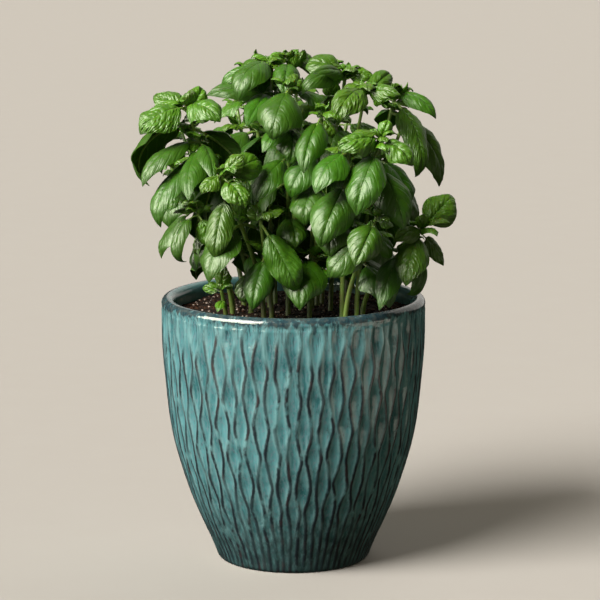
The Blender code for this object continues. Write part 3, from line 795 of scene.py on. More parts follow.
class Shader:
    """A material's nodes, with the few combinations that every finish here uses.

    Attributes:
        material: the material.
        tree: its node tree.
        principled: its Principled BSDF.
    """

    def __init__(self, name: str, **settings: float) -> None:
        """Starts a material.

        Args:
            name: the real finish's name.
            settings: constants of the Principled BSDF, with underscores for the spaces in socket names.
        """
        self.material = bpy.data.materials.new(name)
        self.material.use_nodes = True
        self.tree = self.material.node_tree
        self.principled = self.tree.nodes["Principled BSDF"]
        for key, value in settings.items():
            self.principled.inputs[key.replace("_", " ")].default_value = value
        self.place = add_node(self.tree, "TexCoord").outputs["Object"]

    def maths(self, operation: str, *values: object) -> bpy.types.NodeSocket:
        """The result of a Math node on these values or sockets."""
        return add_node(self.tree, "Math", {"operation": operation}, dict(enumerate(values))).outputs[0]

    def times(self, *values: object) -> bpy.types.NodeSocket:
        """The product of these values or sockets."""
        product, *others = values
        for other in others:
            product = self.maths("MULTIPLY", product, other)
        return product

    def plus(self, first: object, second: object) -> bpy.types.NodeSocket:
        """The sum of two values or sockets."""
        return self.maths("ADD", first, second)

    def centred(self, value: object, reach: float) -> bpy.types.NodeSocket:
        """A value from 0 to 1, brought to lie evenly round 0 within this reach."""
        return self.times(self.maths("SUBTRACT", value, 0.5), reach)

    def split(self, vector: bpy.types.NodeSocket) -> Sequence[bpy.types.NodeSocket]:
        """The three parts of a vector."""
        return add_node(self.tree, "SeparateXYZ", links={0: vector}).outputs

    def height(self) -> bpy.types.NodeSocket:
        """The height on the object, metres."""
        return self.split(self.place)[2]

    def stepped(
        self, value: object, start: float, end: float, low: float = 0.0, high: float = 1.0
    ) -> bpy.types.NodeSocket:
        """Value eased from low at start to high at end."""
        links = {0: value, 1: start, 2: end, 3: low, 4: high}
        return add_node(self.tree, "MapRange", {"interpolation_type": "SMOOTHSTEP"}, links).outputs[0]

    def mixed(self, share: object, first: object, second: object) -> bpy.types.NodeSocket:
        """The first colour where share is 0 and the second where it is 1."""
        links = {0: share, 6: first, 7: second}
        return add_node(self.tree, "Mix", {"data_type": "RGBA"}, links).outputs[2]

    def speckle(self, grain: float, detail: float = 3.0, stretch: float = 1.0) -> bpy.types.NodeSocket:
        """Soft noise.

        Args:
            grain: the size of its blotches, mm.
            detail: how many finer layers it has.
            stretch: how many times longer the blotches are up the object than across.

        Returns:
            The socket with its value from 0 to 1.
        """
        scale = (1 / (grain * MM), 1 / (grain * MM), 1 / (grain * MM * stretch))
        mapping = add_node(self.tree, "Mapping", links={"Vector": self.place, "Scale": scale})
        links = {"Vector": mapping.outputs[0], "Scale": 1.0, "Detail": detail, "Roughness": NOISE_ROUGHNESS}
        return add_node(self.tree, "TexNoise", links=links).outputs[0]

    def read(self, name: str) -> bpy.types.NodeSocket:
        """The value of a piece's own attribute."""
        return add_node(self.tree, "Attribute", {"attribute_name": name}).outputs["Fac"]

    def read_parts(self, name: str) -> Sequence[bpy.types.NodeSocket]:
        """The three parts of a piece's own vector attribute."""
        return self.split(add_node(self.tree, "Attribute", {"attribute_name": name}).outputs["Vector"])

    def finish(self, **sockets: object) -> bpy.types.Material:
        """Links these sockets to the Principled BSDF's inputs and gives the material."""
        for key, socket in sockets.items():
            self.tree.links.new(socket, self.principled.inputs[key.replace("_", " ")])
        return self.material

    def bumped(
        self, height: object, distance: float, under: bpy.types.NodeSocket | None = None
    ) -> bpy.types.NodeSocket:
        """The normal of a surface raised by a height from 0 to 1.

        Args:
            height: the height's socket.
            distance: how far 1 is raised, mm.
            under: the normal of another bump below this one.

        Returns:
            The normal's socket.
        """
        links = {"Height": height, "Distance": distance * MM}
        if under is not None:
            links["Normal"] = under
        return add_node(self.tree, "Bump", links=links).outputs[0]


@dataclass(frozen=True)
class LeafSkin:
    """Living basil leaf, waxy above and dull below, with its veins.

    The waxy skin gives broad pale highlights on the puffs between the veins. Young leaves are yellower.

    Attributes:
        name: the finish's name.
        grown: the colour of a grown leaf.
        young: the colour of a young one.
        vein: the colour at the veins; on the upper side, painted shade in their sunk creases.
        vein_show: how far that colour shows.
        vein_lift: how far the veins stand out, mm, or are sunk where it is negative.
        roughness: how dull the skin is.
        gloss: its specular level.
        vein_reach: how far from a lateral vein's middle its shade ends, mm.
        midrib_reach: the same for the midrib.
        lateral_share: how strong a lateral vein is beside the midrib.
        net_relief: how high the puffs between the finest veins stand on a young leaf, mm.
        net_grown: the share of it that is left on a grown one.
    """

    name: str
    grown: str
    young: str
    vein: str
    vein_show: float
    vein_lift: float
    roughness: float
    gloss: float
    vein_reach: float = 1.1
    midrib_reach: float = 0.9
    lateral_share: float = 0.5
    net_relief: float = 1.2
    net_grown: float = 0.25

    def build(self) -> bpy.types.Material:
        """Builds the material from the leaf's own coordinates: place and habit."""
        settings = {"IOR": 1.45, "Subsurface_Weight": 0.08, "Subsurface_Scale": 0.8 * MM}
        skin = Shader(self.name, Specular_IOR_Level=self.gloss, **settings)
        across, along, length = skin.read_parts("place")
        half_width, youth, tone = skin.read_parts("habit")

        # The veins, where the leaf's shape has them too
        out = skin.maths("ABSOLUTE", across)
        swept = skin.times(skin.maths("POWER", out, VEIN_BEND), VEIN_SWEEP)
        own_side = skin.times(skin.maths("SIGN", across), VEIN_STAGGER)
        stage = skin.maths("SUBTRACT", skin.plus(along, own_side), swept)
        off_vein = skin.maths("PINGPONG", skin.times(stage, float(VEIN_PAIRS)), 0.5)
        to_vein = skin.times(off_vein, skin.maths("DIVIDE", length, float(VEIN_PAIRS)))
        lateral = skin.stepped(to_vein, 0.1, self.vein_reach, 1.0, 0.0)
        midrib = skin.stepped(skin.times(out, half_width), 0.1, self.midrib_reach, 1.0, 0.0)
        veins = skin.maths("MAXIMUM", skin.times(lateral, self.lateral_share), midrib)

        # The colour, each leaf a shade of its own
        blotch = skin.speckle(9.0, 4.0)
        shade = skin.plus(skin.times(tone, 0.6), skin.times(blotch, 0.5))
        bright = add_node(skin.tree, "HueSaturation", links={
            "Hue": skin.stepped(tone, 0.0, 1.0, 0.494, 0.506),
            "Value": skin.stepped(shade, 0.1, 1.0, 0.75, 1.2),
            "Color": skin.mixed(youth, self.grown, self.young),
        }).outputs[0]
        # On the upper side the darker vein colour is painted shade in the creases; below, the veins' own
        # paler colour
        colour = skin.mixed(skin.times(veins, self.vein_show), bright, self.vein)

        # The relief: a faint unevenness, the puffs between the finest veins, and the veins
        cells = add_node(skin.tree, "CombineXYZ", links={
            0: skin.times(across, half_width, 1 / NET_LENGTH),
            1: skin.times(stage, length, 1 / NET_GRAIN),
            2: skin.times(tone, 40.0),
        })
        net = add_node(skin.tree, "TexVoronoi", {"feature": "SMOOTH_F1"}, {
            "Vector": cells.outputs[0], "Scale": 1.0, "Smoothness": 0.3,
        }).outputs[0]
        puffed = skin.times(net, skin.stepped(youth, 0.0, 0.7, -self.net_grown, -1.0))
        normal = skin.bumped(skin.speckle(5.0, 2.0), 0.4)
        normal = skin.bumped(puffed, self.net_relief, normal)
        normal = skin.bumped(veins, self.vein_lift, normal)
        rough = skin.plus(skin.times(blotch, 0.12), self.roughness - 0.06)
        return skin.finish(Base_Color=colour, Roughness=rough, Normal=normal)


@dataclass(frozen=True)
class StemSkin:
    """Living basil stem, pale green and faintly ribbed, brownish where it is old, near the soil.

    Attributes:
        name: the finish's name.
        green: the colour of a grown stem.
        pale: the colour of a young one.
        brown: the colour of an old one.
        browns: the heights between which it turns from green to brown, mm.
    """

    name: str = "living basil stem"
    green: str = "#769A3C"
    pale: str = "#9DBB60"
    brown: str = "#5F532A"
    browns: tuple[float, float] = (275.0, 195.0)

    def build(self) -> bpy.types.Material:
        """Builds the material from the piece's own height and habit."""
        skin = Shader(self.name, IOR=1.45, Subsurface_Weight=0.1, Subsurface_Scale=1.0 * MM)
        _, youth, _ = skin.read_parts("habit")
        blotch = skin.speckle(7.0, 3.0, 4.0)
        old = skin.stepped(skin.height(), self.browns[0] * MM, self.browns[1] * MM)
        old = skin.times(old, skin.stepped(blotch, 0.3, 0.75), 0.8)
        colour = skin.mixed(old, skin.mixed(youth, self.green, self.pale), self.brown)
        normal = skin.bumped(skin.speckle(1.2, 2.0, 14.0), 0.15)
        rough = skin.stepped(blotch, 0.2, 0.8, 0.36, 0.5)
        return skin.finish(Base_Color=colour, Roughness=rough, Normal=normal)


@dataclass(frozen=True)
class StonewareGlaze:
    """Reactive turquoise glaze, fired glossy over dark stoneware.

    It runs off the ridges, where the dark body shows; near the foot gathered glaze and painted shade darken
    it.

    Attributes:
        name: the finish's name.
        turquoise: the glaze where it is thick.
        light: the painted highlight beside a ridge.
        deep: between its streaks.
        grey: where it is dulled in the hollows.
        foot: the darker colour near the foot, of gathered glaze and painted shade.
        ridge: the bare body on a ridge.
        rust: the body's browner patches.
        lip: the plainer glaze inside the lip.
        band: the dark band under the lip.
        scorch: the band's paler patches.
        thins: the heights between which the glaze thins out below the lip, mm.
        pool_and_shade_heights: the heights between which gathered glaze and painted shade darken it towards
            the foot, mm.
        pool_and_shade_reach: how far its runs carry that up and down in all, mm.
        dulls: the heights between which it turns dull below the lip, mm.
    """

    name: str = "turquoise reactive glaze on stoneware"
    turquoise: str = "#6AABB1"
    light: str = "#A0CECE"
    deep: str = "#38757A"
    grey: str = "#8093A0"
    foot: str = "#20322F"
    ridge: str = "#25323A"
    rust: str = "#3F3439"
    lip: str = "#5C8C8C"
    band: str = "#263A45"
    scorch: str = "#4C504F"
    thins: tuple[float, float] = (166.0, 195.0)
    pool_and_shade_heights: tuple[float, float] = (86.0, -16.0)
    pool_and_shade_reach: float = 110.0
    dulls: tuple[float, float] = (197.0, 190.0)

    def build(self) -> bpy.types.Material:
        """Builds the material from the pot's own attributes: ridge, worn, hollow, under_lip and inner."""
        glaze = Shader(self.name, IOR=1.5)
        height, ridge = glaze.height(), glaze.read("ridge")
        streak = glaze.speckle(4.5, 4.0, 7.0)
        cloud = glaze.speckle(26.0, 3.0, 1.8)
        fine = glaze.speckle(1.7, 3.0, 2.0)

        # The glaze in streaks, greyer in the hollows and thin below the lip; a painted highlight beside the
        # ridges
        colour = glaze.mixed(glaze.stepped(streak, 0.36, 0.66), self.deep, self.turquoise)
        colour = glaze.mixed(glaze.stepped(cloud, 0.6, 0.4, 0.0, 0.75), colour, self.turquoise)
        hollow = glaze.stepped(glaze.read("hollow"), 0.3, 1.0, 0.1, 0.5)
        colour = glaze.mixed(glaze.times(glaze.stepped(fine, 0.46, 0.66), hollow), colour, self.grey)
        thin = glaze.stepped(glaze.speckle(1.5, 3.0, 9.0), 0.50, 0.62)
        high_up = glaze.stepped(height, self.thins[0] * MM, self.thins[1] * MM, 0.0, 0.7)
        colour = glaze.mixed(glaze.times(thin, high_up), colour, self.band)
        # Painted highlight: paler glaze beside each ridge, broken by the streaks
        beside = glaze.stepped(ridge, 4.0, 1.2, 0.0, 0.42)
        streaked = glaze.stepped(streak, 0.35, 0.6, 0.3, 1.0)
        colour = glaze.mixed(glaze.times(beside, streaked), colour, self.light)
        # Darker towards the foot: gathered glaze and painted shade
        low = glaze.plus(height, glaze.centred(glaze.speckle(3.0, 3.0, 16.0), self.pool_and_shade_reach * MM))
        pooled_and_shaded = glaze.stepped(low, self.pool_and_shade_heights[0] * MM, self.pool_and_shade_heights[1] * MM, 0.0, 0.85)
        colour = glaze.mixed(pooled_and_shaded, colour, self.foot)

        # The bare body on the ridges
        shown = glaze.stepped(glaze.plus(ridge, glaze.centred(fine, 1.5)), 2.1, 0.5)
        flow = glaze.stepped(glaze.speckle(15.0, 3.0, 1.3), 0.68, 0.56)
        bare = glaze.times(shown, glaze.read("worn"), flow)
        dark = glaze.mixed(glaze.stepped(glaze.speckle(7.0, 2.0, 2.5), 0.52, 0.70), self.ridge, self.rust)
        colour = glaze.mixed(bare, colour, dark)

        # The burnt band under the lip, and the plainer glaze inside
        drip = glaze.centred(glaze.speckle(3.2, 4.0, 2.2), 2.6)
        banded = glaze.stepped(glaze.plus(glaze.read("under_lip"), drip), 0.15, 0.9)
        burnt = glaze.mixed(glaze.stepped(glaze.speckle(5.0, 4.0, 0.6), 0.42, 0.60), self.band, self.scorch)
        colour = glaze.mixed(glaze.times(banded, 0.88), colour, burnt)
        inner = glaze.stepped(glaze.plus(glaze.read("inner"), drip), 0.3, 0.9)
        colour = glaze.mixed(glaze.times(inner, 0.9), colour, self.lip)

        dull = glaze.stepped(height, self.dulls[0] * MM, self.dulls[1] * MM, 0.0, 0.10)
        rough = glaze.plus(dull, glaze.times(bare, 0.12))
        rough = glaze.plus(rough, glaze.stepped(cloud, 0.2, 0.8, 0.09, 0.17))
        normal = glaze.bumped(glaze.speckle(6.0, 2.0), 0.3)
        normal = glaze.bumped(fine, 0.07, normal)
        return glaze.finish(Base_Color=colour, Roughness=rough, Normal=normal)


@dataclass(frozen=True)
class Earth:
    """Loose earthen stuff: moist potting mix, bark crumbs or perlite, matt and grainy.

    Attributes:
        name: the finish's name.
        dark: the colour of its dark blotches.
        pale: the colour of its pale ones.
        roughness: how dull its pale blotches are.
        grain: how big its blotches are, mm.
        relief: how high its grains stand, mm.
    """

    name: str
    dark: str
    pale: str
    roughness: float
    grain: float
    relief: float

    def build(self) -> bpy.types.Material:
        """Builds the material."""
        stuff = Shader(self.name, IOR=1.4, Specular_IOR_Level=0.2)
        blotch = stuff.speckle(self.grain, 5.0)
        colour = stuff.mixed(stuff.stepped(blotch, 0.35, 0.7), self.dark, self.pale)
        rough = stuff.stepped(blotch, 0.3, 0.7, self.roughness - 0.12, self.roughness)
        normal = stuff.bumped(stuff.speckle(self.grain * 0.5, 4.0), self.relief)
        return stuff.finish(Base_Color=colour, Roughness=rough, Normal=normal)


@dataclass(frozen=True)
class MattPlaster:
    """Matt pale plaster for the floor, faintly clouded and so matt that no light shows in it."""

    name: str = "matt pale plaster"
    dark: str = "#BFBBB6"
    pale: str = "#C1BEB9"

    def build(self) -> bpy.types.Material:
        """Builds the material."""
        plaster = Shader(self.name, Specular_IOR_Level=0.0, Roughness=1.0)
        return plaster.finish(Base_Color=plaster.mixed(plaster.speckle(40.0, 5.0), self.dark, self.pale))


class LeafGrid(Enum):
    """How finely a leaf's surface is divided: faces across and along."""

    GROWN = (16, 34)
    SMALL = (12, 22)
    AXIL = (6, 10)
    BUD = (4, 6)


class Dress(Enum):
    """The material slots of a leafy stem."""

    UPPER = 0
    UNDER = 1
    STEM = 2


@dataclass(frozen=True)
class FineLeaf:
    """A basil leaf with its crease, its puffs between the veins and its hanging margins.

    Attributes:
        blade: where it is set.
        grid: how finely it is divided.
        youth: from 0, grown, to 1, just opened.
        curl: the angle that the margins hang at, radians.
        puff: how far each half is domed, as a share of half the width.
        quilt: how high the puffs between veins stand, mm.
        crinkle: how high the finest bulges stand, mm.
        wave: how far the margins wave, as a share of half the width.
        phase: where the waves start, as a share of one.
        twist: how far the tip is turned about the midrib, radians.
        tone: a shade of its own, from 0 to 1.
        roll: how far the tip rolls under, radians.
    """

    blade: Blade
    grid: LeafGrid
    youth: float
    curl: float
    puff: float
    quilt: float
    crinkle: float
    wave: float
    phase: float
    twist: float
    tone: float
    roll: float

    @classmethod
    def on(cls, blade: Blade, draw: random.Random, grid: LeafGrid | None = None) -> "FineLeaf":
        """Chooses a leaf's habit from its size, with a little chance.

        Args:
            blade: where it is set.
            draw: the seeded chance.
            grid: how finely it is divided, if not by its size.

        Returns:
            The leaf.
        """
        youth = max(blade.young, eased(blade.span, GROWN_SPAN, YOUNG_BELOW))
        puffs = blade.width * (QUILT + YOUNG_QUILT * youth)
        return cls(
            blade=blade,
            grid=grid or (LeafGrid.GROWN if blade.span > SMALL_LEAF else LeafGrid.SMALL),
            youth=youth,
            curl=math.radians(draw.uniform(*MARGIN_HANG)),
            puff=draw.uniform(*DOME),
            quilt=puffs * draw.uniform(*QUILT_CHANCE) * min(1.0, blade.span / QUILT_FULL),
            crinkle=min(blade.width * CRINKLE_SHARE, CRINKLE + YOUNG_CRINKLE * youth),
            wave=draw.uniform(*MARGIN_WAVE),
            phase=draw.random(),
            twist=draw.uniform(-TWIST, TWIST),
            tone=draw.random(),
            roll=math.radians(draw.uniform(*TIP_ROLL)),
        )

    @property
    def width(self) -> float:
        """The widest that the blade is, mm: a share of the solid's, or less where the leaf is short."""
        return min(self.blade.width * self.blade.slim, BROADEST * self.blade.span)

    def half(self, along: float) -> float:
        """Half the leaf's width at this share of its blade, mm."""
        share = min(1.0, max(0.0, along))
        closing = BLUNT + (POINTED - BLUNT) * eased(share, POINTED_FROM, POINTED_BY)
        rounded = math.sin(math.pi * share ** (WIDEST_LOW + WIDEST_CHANCE * self.phase)) ** closing
        return self.width / 2 * max(NARROWEST, rounded)

    def section(self, across: float, along: float) -> tuple[float, float]:
        """Shapes the leaf's cross section.

        Args:
            across: from -1 at one margin to 1 at the other.
            along: from 0 at the blade's base to 1 at its tip.

        Returns:
            How far the point lies to the side of the midrib and above its plane, mm.
        """
        out, half = abs(across), self.half(along)
        side = 1 if across > 0 else -1
        middle = math.sin(math.pi * min(1.0, HANG_LEAD + along))
        curl = self.curl * (HANG_AT_TIP + (1 - HANG_AT_TIP) * middle)
        curl *= 1 + side * HANG_UNEVEN * (self.phase - 0.5)
        reach = half * math.sin(curl * out) / math.sin(curl)
        hang = half * (1 - math.cos(curl * out)) / math.sin(curl)
        dome = half * self.puff * math.sin(math.pi * out ** DOME_LEAN) * (1 - DOME_FADE * along ** 2)
        crease = CREASE_DEPTH * min(1.0, half / CREASE_FULL) * math.exp(-(out * half / CREASE_WIDTH) ** 2)
        turn = math.tau * (WAVES * along + self.phase + WAVE_SHIFT * side)
        wave = self.wave * half * out ** 2 * math.sin(turn)
        relief = self.quilting(across, along, half) + self.crinkling(across, along, half)
        return side * reach, dome - hang - crease + wave + relief

    def quilting(self, across: float, along: float, half: float) -> float:
        """Shapes the puffs between the lateral veins, no two of which are alike.

        Args:
            across: from -1 at one margin to 1 at the other.
            along: from 0 at the blade's base to 1 at its tip.
            half: half the leaf's width there, mm.

        Returns:
            How high the surface stands for them, mm.
        """
        out, side = abs(across), 1 if across > 0 else -1
        vein = along - VEIN_SWEEP * out ** VEIN_BEND + VEIN_STAGGER * side
        between = abs(math.sin(math.pi * VEIN_PAIRS * vein)) ** 0.8
        spread = math.sin(math.pi * out ** 0.85) ** 0.6 * 0.75 if out < 1 else 0.0
        spread += 0.3 * out ** 2
        ends = math.sin(math.pi * min(1.0, along + 0.02)) ** 0.4
        puff = Vector((across * half / BLISTER, VEIN_PAIRS * vein * 0.8, 50 * self.tone + 25))
        return self.quilt * between * spread * ends * (0.8 + 1.3 * noise.noise(puff))

    def crinkling(self, across: float, along: float, half: float) -> float:
        """Shapes the finest bulges, and the broad ones that swell towards the margins.

        Args:
            across: from -1 at one margin to 1 at the other.
            along: from 0 at the blade's base to 1 at its tip.
            half: half the leaf's width there, mm.

        Returns:
            How high the surface stands for them, mm.
        """
        grain = CRINKLE_GRAIN * (1 - YOUNG_GRAIN * self.youth)
        spot = Vector((across * half / grain, along * self.blade.span / grain, 50 * self.tone))
        crinkle = self.crinkle * noise.noise(spot) * min(1.0, half / CRINKLE_FULL)
        broad = noise.noise(spot * SWELL_SHARE + Vector((0.0, 0.0, 9.0)))
        return crinkle + SWELL * half * broad * (0.4 + abs(across))

    def midrib(self, rows: int) -> list[tuple[Vector, Vector, Vector]]:
        """Follows the blade from its base to its tip, which rolls under.

        Args:
            rows: how many steps to take.

        Returns:
            At each step the midrib's point, the upper face's normal and the direction to the side.
        """
        found: list[tuple[Vector, Vector, Vector]] = []
        before = None
        for row in range(rows + 1):
            along = row / rows
            place, ahead, normal, side = self.blade.frame(STALK_SHARE + (1 - STALK_SHARE) * along)
            turn = self.roll * eased(along, ROLL_FROM, ROLL_BY)
            level, steep = math.cos(turn), math.sin(turn)
            ahead, normal = ahead * level - normal * steep, normal * level + ahead * steep
            point = found[-1][0] + ahead * (place - before).length if found else place
            found.append((point, normal, side))
            before = place
        return found

    def build(self) -> bmesh.types.BMesh:
        """Builds the leaf's blade, and its stalk and midrib below it."""
        form = leafy_form()
        columns, rows = self.grid.value
        place = form.verts.layers.float_vector["place"]
        habit = form.verts.layers.float_vector["habit"]
        bmesh.ops.create_grid(form, x_segments=columns, y_segments=rows, size=1.0)
        length = self.blade.span * (1 - STALK_SHARE)
        frames = self.midrib(rows)
        for vert in form.verts:
            across, along = vert.co.x, (vert.co.y + 1) / 2
            point, normal, side = frames[round(along * rows)]
            turn = self.twist * (along - TWIST_FROM)
            reach, rise = self.section(across, along)
            level = side * (reach * math.cos(turn) - rise * math.sin(turn))
            vert.co = (point + level + normal * (reach * math.sin(turn) + rise * math.cos(turn))) * MM
            vert[place] = (across, along, length)
            vert[habit] = (self.width / 2, self.youth, self.tone)
        form.normal_update()
        made = bmesh.ops.solidify(form, geom=list(form.faces), thickness=LEAF_THICKNESS * MM)
        for found in made["geom"]:
            if isinstance(found, bmesh.types.BMFace):
                found.material_index = Dress.UNDER.value
        self.add_rib(form, frames)
        return form

    def add_rib(self, form: bmesh.types.BMesh, frames: Sequence[tuple[Vector, Vector, Vector]]) -> None:
        """Adds the stalk, which goes on as a rib below the midrib and thins out to the tip.

        Args:
            form: the leaf's mesh.
            frames: the midrib's places.
        """
        last = len(frames) - 1
        width = max(RIB_THINNEST, self.blade.width * RIB_SHARE)
        path = [self.blade.frame(STALK_SHARE * step / 2)[0] for step in (0, 1)]
        widths = [width, width]
        for row in range(0, last, RIB_STEP):
            point, normal, _ = frames[row]
            widths.append(width * (1 - RIB_TAPER * row / last))
            path.append(point - normal * (widths[-1] * RIB_SINK - self.section(0.0, row / last)[1]))
        sides = 6 if self.grid is LeafGrid.GROWN else 4
        habit = (self.blade.width / 2, max(STALK_YOUTH, self.youth), self.tone)
        add_tube(form, path, widths, sides, Dress.STEM, habit)


def leafy_form() -> bmesh.types.BMesh:
    """An empty mesh with the layers that leaves and stems carry."""
    form = bmesh.new()
    form.verts.layers.float_vector.new("place")
    form.verts.layers.float_vector.new("habit")
    return form


def add_tube(
    form: bmesh.types.BMesh,
    path: Sequence[Vector],
    widths: Sequence[float],
    sides: int,
    dress: Dress,
    habit: tuple[float, float, float],
    square: float = 0.0,
) -> None:
    """Adds a closed tube along a path.

    Args:
        form: the mesh it goes in, with layers named place and habit.
        path: the points of its centreline, mm.
        widths: its radius at each point, mm.
        sides: how many sides its section has.
        dress: the material slot.
        habit: the value its points get in the habit layer.
        square: how far the section is pressed square, from 0, round.
    """
    place_layer = form.verts.layers.float_vector["place"]
    habit_layer = form.verts.layers.float_vector["habit"]
    last = len(path) - 1
    made = bmesh.ops.create_grid(form, x_segments=sides, y_segments=last, size=1.0)["verts"]
    ends = set()
    frames = []
    across = Vector((1.0, 0.0, 0.0))
    for i in range(last + 1):
        along = (path[min(last, i + 1)] - path[max(0, i - 1)]).normalized()
        across = (across - along * across.dot(along)).normalized()
        frames.append((across, along.cross(across)))
    for vert in made:
        step = round((vert.co.y + 1) / 2 * last)
        angle = math.pi * (vert.co.x + 1)
        first, second = frames[step]
        radius = widths[step] * (1 - square * math.cos(4 * angle))
        vert.co = (path[step] + (first * math.cos(angle) + second * math.sin(angle)) * radius) * MM
        vert[place_layer] = (angle / math.tau, step / last, 0.0)
        vert[habit_layer] = habit
        if step in (0, last):
            ends.add(vert)
    faces = {found for vert in made for found in vert.link_faces}
    merged = bmesh.ops.find_doubles(form, verts=made, dist=SAME_PLACE)["targetmap"]
    bmesh.ops.weld_verts(form, targetmap=merged)
    rims = {edge for vert in ends if vert.is_valid for edge in vert.link_edges if edge.is_boundary}
    faces |= set(bmesh.ops.edgeloop_fill(form, edges=list(rims))["faces"])
    bmesh.ops.recalc_face_normals(form, faces=list(faces))
    for found in faces:
        found.material_index = dress.value


@dataclass
class LeafyStem:
    """A basil stem with its leaves and the buds that open in its axils and at its tip.

    Attributes:
        shoot: the stem's row in the table.
        points: the solid's points up the stem.
        blades: its leaves, as set.
        draw: its own seeded chance.
        steps: how many points its bend has.
        sides: how many sides its section has.
        buried: how far down into the soil it goes, as a share of the solid's depth.
        slim: its radius as a share of the solid's.
        knuckle: how much thicker it is at a pair of leaves, as the same share.
        knuckle_reach: how far up and down that thins out, mm.
        squareness: how far its section is pressed square.
    """

    shoot: Shoot
    points: list[Vector]
    blades: list[Blade]
    draw: random.Random = field(init=False)
    steps: int = 40
    sides: int = 12
    buried: float = 0.6
    slim: float = 0.92
    knuckle: float = 0.22
    knuckle_reach: float = 3.0
    squareness: float = 0.05

    def __post_init__(self) -> None:
        """Starts the stem's own draw."""
        self.draw = random.Random(self.shoot.name)

    def build(self, dress: Sequence[bpy.types.Material]) -> bpy.types.Object:
        """Builds the stem's piece.

        Args:
            dress: its materials, in the order of Dress.

        Returns:
            The object.
        """
        form = leafy_form()
        self.add_stalk(form)
        carrier = bpy.data.meshes.new("carrier")
        leaves = [(blade, None) for blade in self.blades]
        for blade, grid in [*leaves, *self.tip_buds(), *self.axil_leaves()]:
            leaf = FineLeaf.on(blade, self.draw, grid).build()
            self.keep_inside(leaf, blade)
            leaf.to_mesh(carrier)
            leaf.free()
            form.from_mesh(carrier)
        bpy.data.meshes.remove(carrier)
        return finished(self.shoot.name + "_fine", form, dress, self.shoot.name)

    @staticmethod
    def keep_inside(leaf: bmesh.types.BMesh, blade: Blade) -> None:
        """Bends a leaf back into the solids' box, its tip most and its foot not at all.

        Args:
            leaf: its mesh.
            blade: where it is set.
        """
        back = Vector()
        for axis in range(3):
            places = [vert.co[axis] for vert in leaf.verts]
            back[axis] = max(0.0, CAD_BOX[0][axis] - min(places)) + min(0.0, CAD_BOX[1][axis] - max(places))
        if back.length == 0.0:
            return
        root = blade.base * MM
        for vert in leaf.verts:
            away = (vert.co - root).length / (BEND_FROM * blade.span * MM)
            moved = vert.co + back * min(1.0, away)
            vert.co = Vector(map(max, CAD_BOX[0], map(min, CAD_BOX[1], moved)))

    def add_stalk(self, form: bmesh.types.BMesh) -> None:
        """Adds the stem itself, swollen a little at each pair of leaves."""
        foot = Vector((*self.shoot.foot, SOIL_TOP - STEM_DEPTH * self.buried))
        path = [foot, *stem_bend(self.shoot, self.steps)]
        widths = []
        for i, point in enumerate(path):
            swell = 0.0
            for blade in self.blades:
                away = (blade.base - point).length / self.knuckle_reach
                swell = max(swell, math.exp(-away * away))
            widths.append(stem_width(i / (len(path) - 1)) * (self.slim + self.knuckle * swell))
        habit = (STEM_RADIUS, STEM_YOUTH, self.draw.random())
        add_tube(form, path, widths, self.sides, Dress.STEM, habit, self.squareness)

    def tip_buds(self) -> Iterable[tuple[Blade, LeafGrid]]:
        """The leaves just opening round the stem's tip, each pair smaller and steeper than the last."""
        heading = (self.points[-1] - self.points[-2]).normalized()
        start = self.draw.uniform(0, 180)
        for pair, (length, rise) in enumerate(TIP_PAIRS):
            for side in (0, 180):
                azimuth = start + 90 * pair + side + self.draw.uniform(-TIP_WANDER, TIP_WANDER)
                grid = LeafGrid.AXIL if pair == 0 else LeafGrid.BUD
                yield self.young_leaf(self.points[-1] - heading, azimuth, rise, length), grid

    def axil_leaves(self) -> Iterable[tuple[Blade, LeafGrid]]:
        """The young pair that grows between each big leaf and the stem, with a bud in its middle."""
        for blade in self.blades:
            if blade.span < AXIL_FROM:
                continue
            out = blade.frame(STALK_SHARE)[0] - blade.base
            azimuth = math.degrees(math.atan2(out.y, out.x))
            root = blade.base + Vector((0.0, 0.0, AXIL_LIFT))
            for turn in (-AXIL_TURN, AXIL_TURN):
                length = self.draw.uniform(*AXIL_LENGTH)
                rise = self.draw.uniform(*AXIL_RISE)
                way = azimuth + turn + self.draw.uniform(-AXIL_WANDER, AXIL_WANDER)
                yield self.young_leaf(root, way, rise, length), LeafGrid.AXIL
            yield self.young_leaf(root, azimuth, AXIL_BUD_RISE, AXIL_BUD_LENGTH), LeafGrid.BUD

    def young_leaf(self, root: Vector, azimuth: float, rise: float, length: float) -> Blade:
        """A small leaf from a root, pointing this way in plan and this far up, in degrees."""
        plan, climb = math.radians(azimuth), math.radians(rise)
        way = Vector((math.cos(plan) * math.cos(climb), math.sin(plan) * math.cos(climb), math.sin(climb)))
        return Blade(root, root + way * length, length * SLENDER, self.draw.uniform(*YOUNG_ARCH), azimuth)


def spun(profile: Sequence[tuple[float, float]], segments: int) -> bmesh.types.BMesh:
    """Turns a profile once round the pot's axis.

    Args:
        profile: the radius and height of each point, from the axis and back to it, mm.
        segments: how many steps the turn has.

    Returns:
        The mesh, in metres.
    """
    form = bmesh.new()
    corners = [form.verts.new(Vector((radius, 0.0, height)) * MM) for radius, height in profile]
    edges = [form.edges.new(pair) for pair in zip(corners, corners[1:])]
    bmesh.ops.spin(
        form, geom=corners + edges, cent=(0, 0, 0), axis=(0, 0, 1), angle=math.tau, steps=segments,
        use_merge=True,
    )
    bmesh.ops.remove_doubles(form, verts=form.verts, dist=SAME_PLACE)
    return form


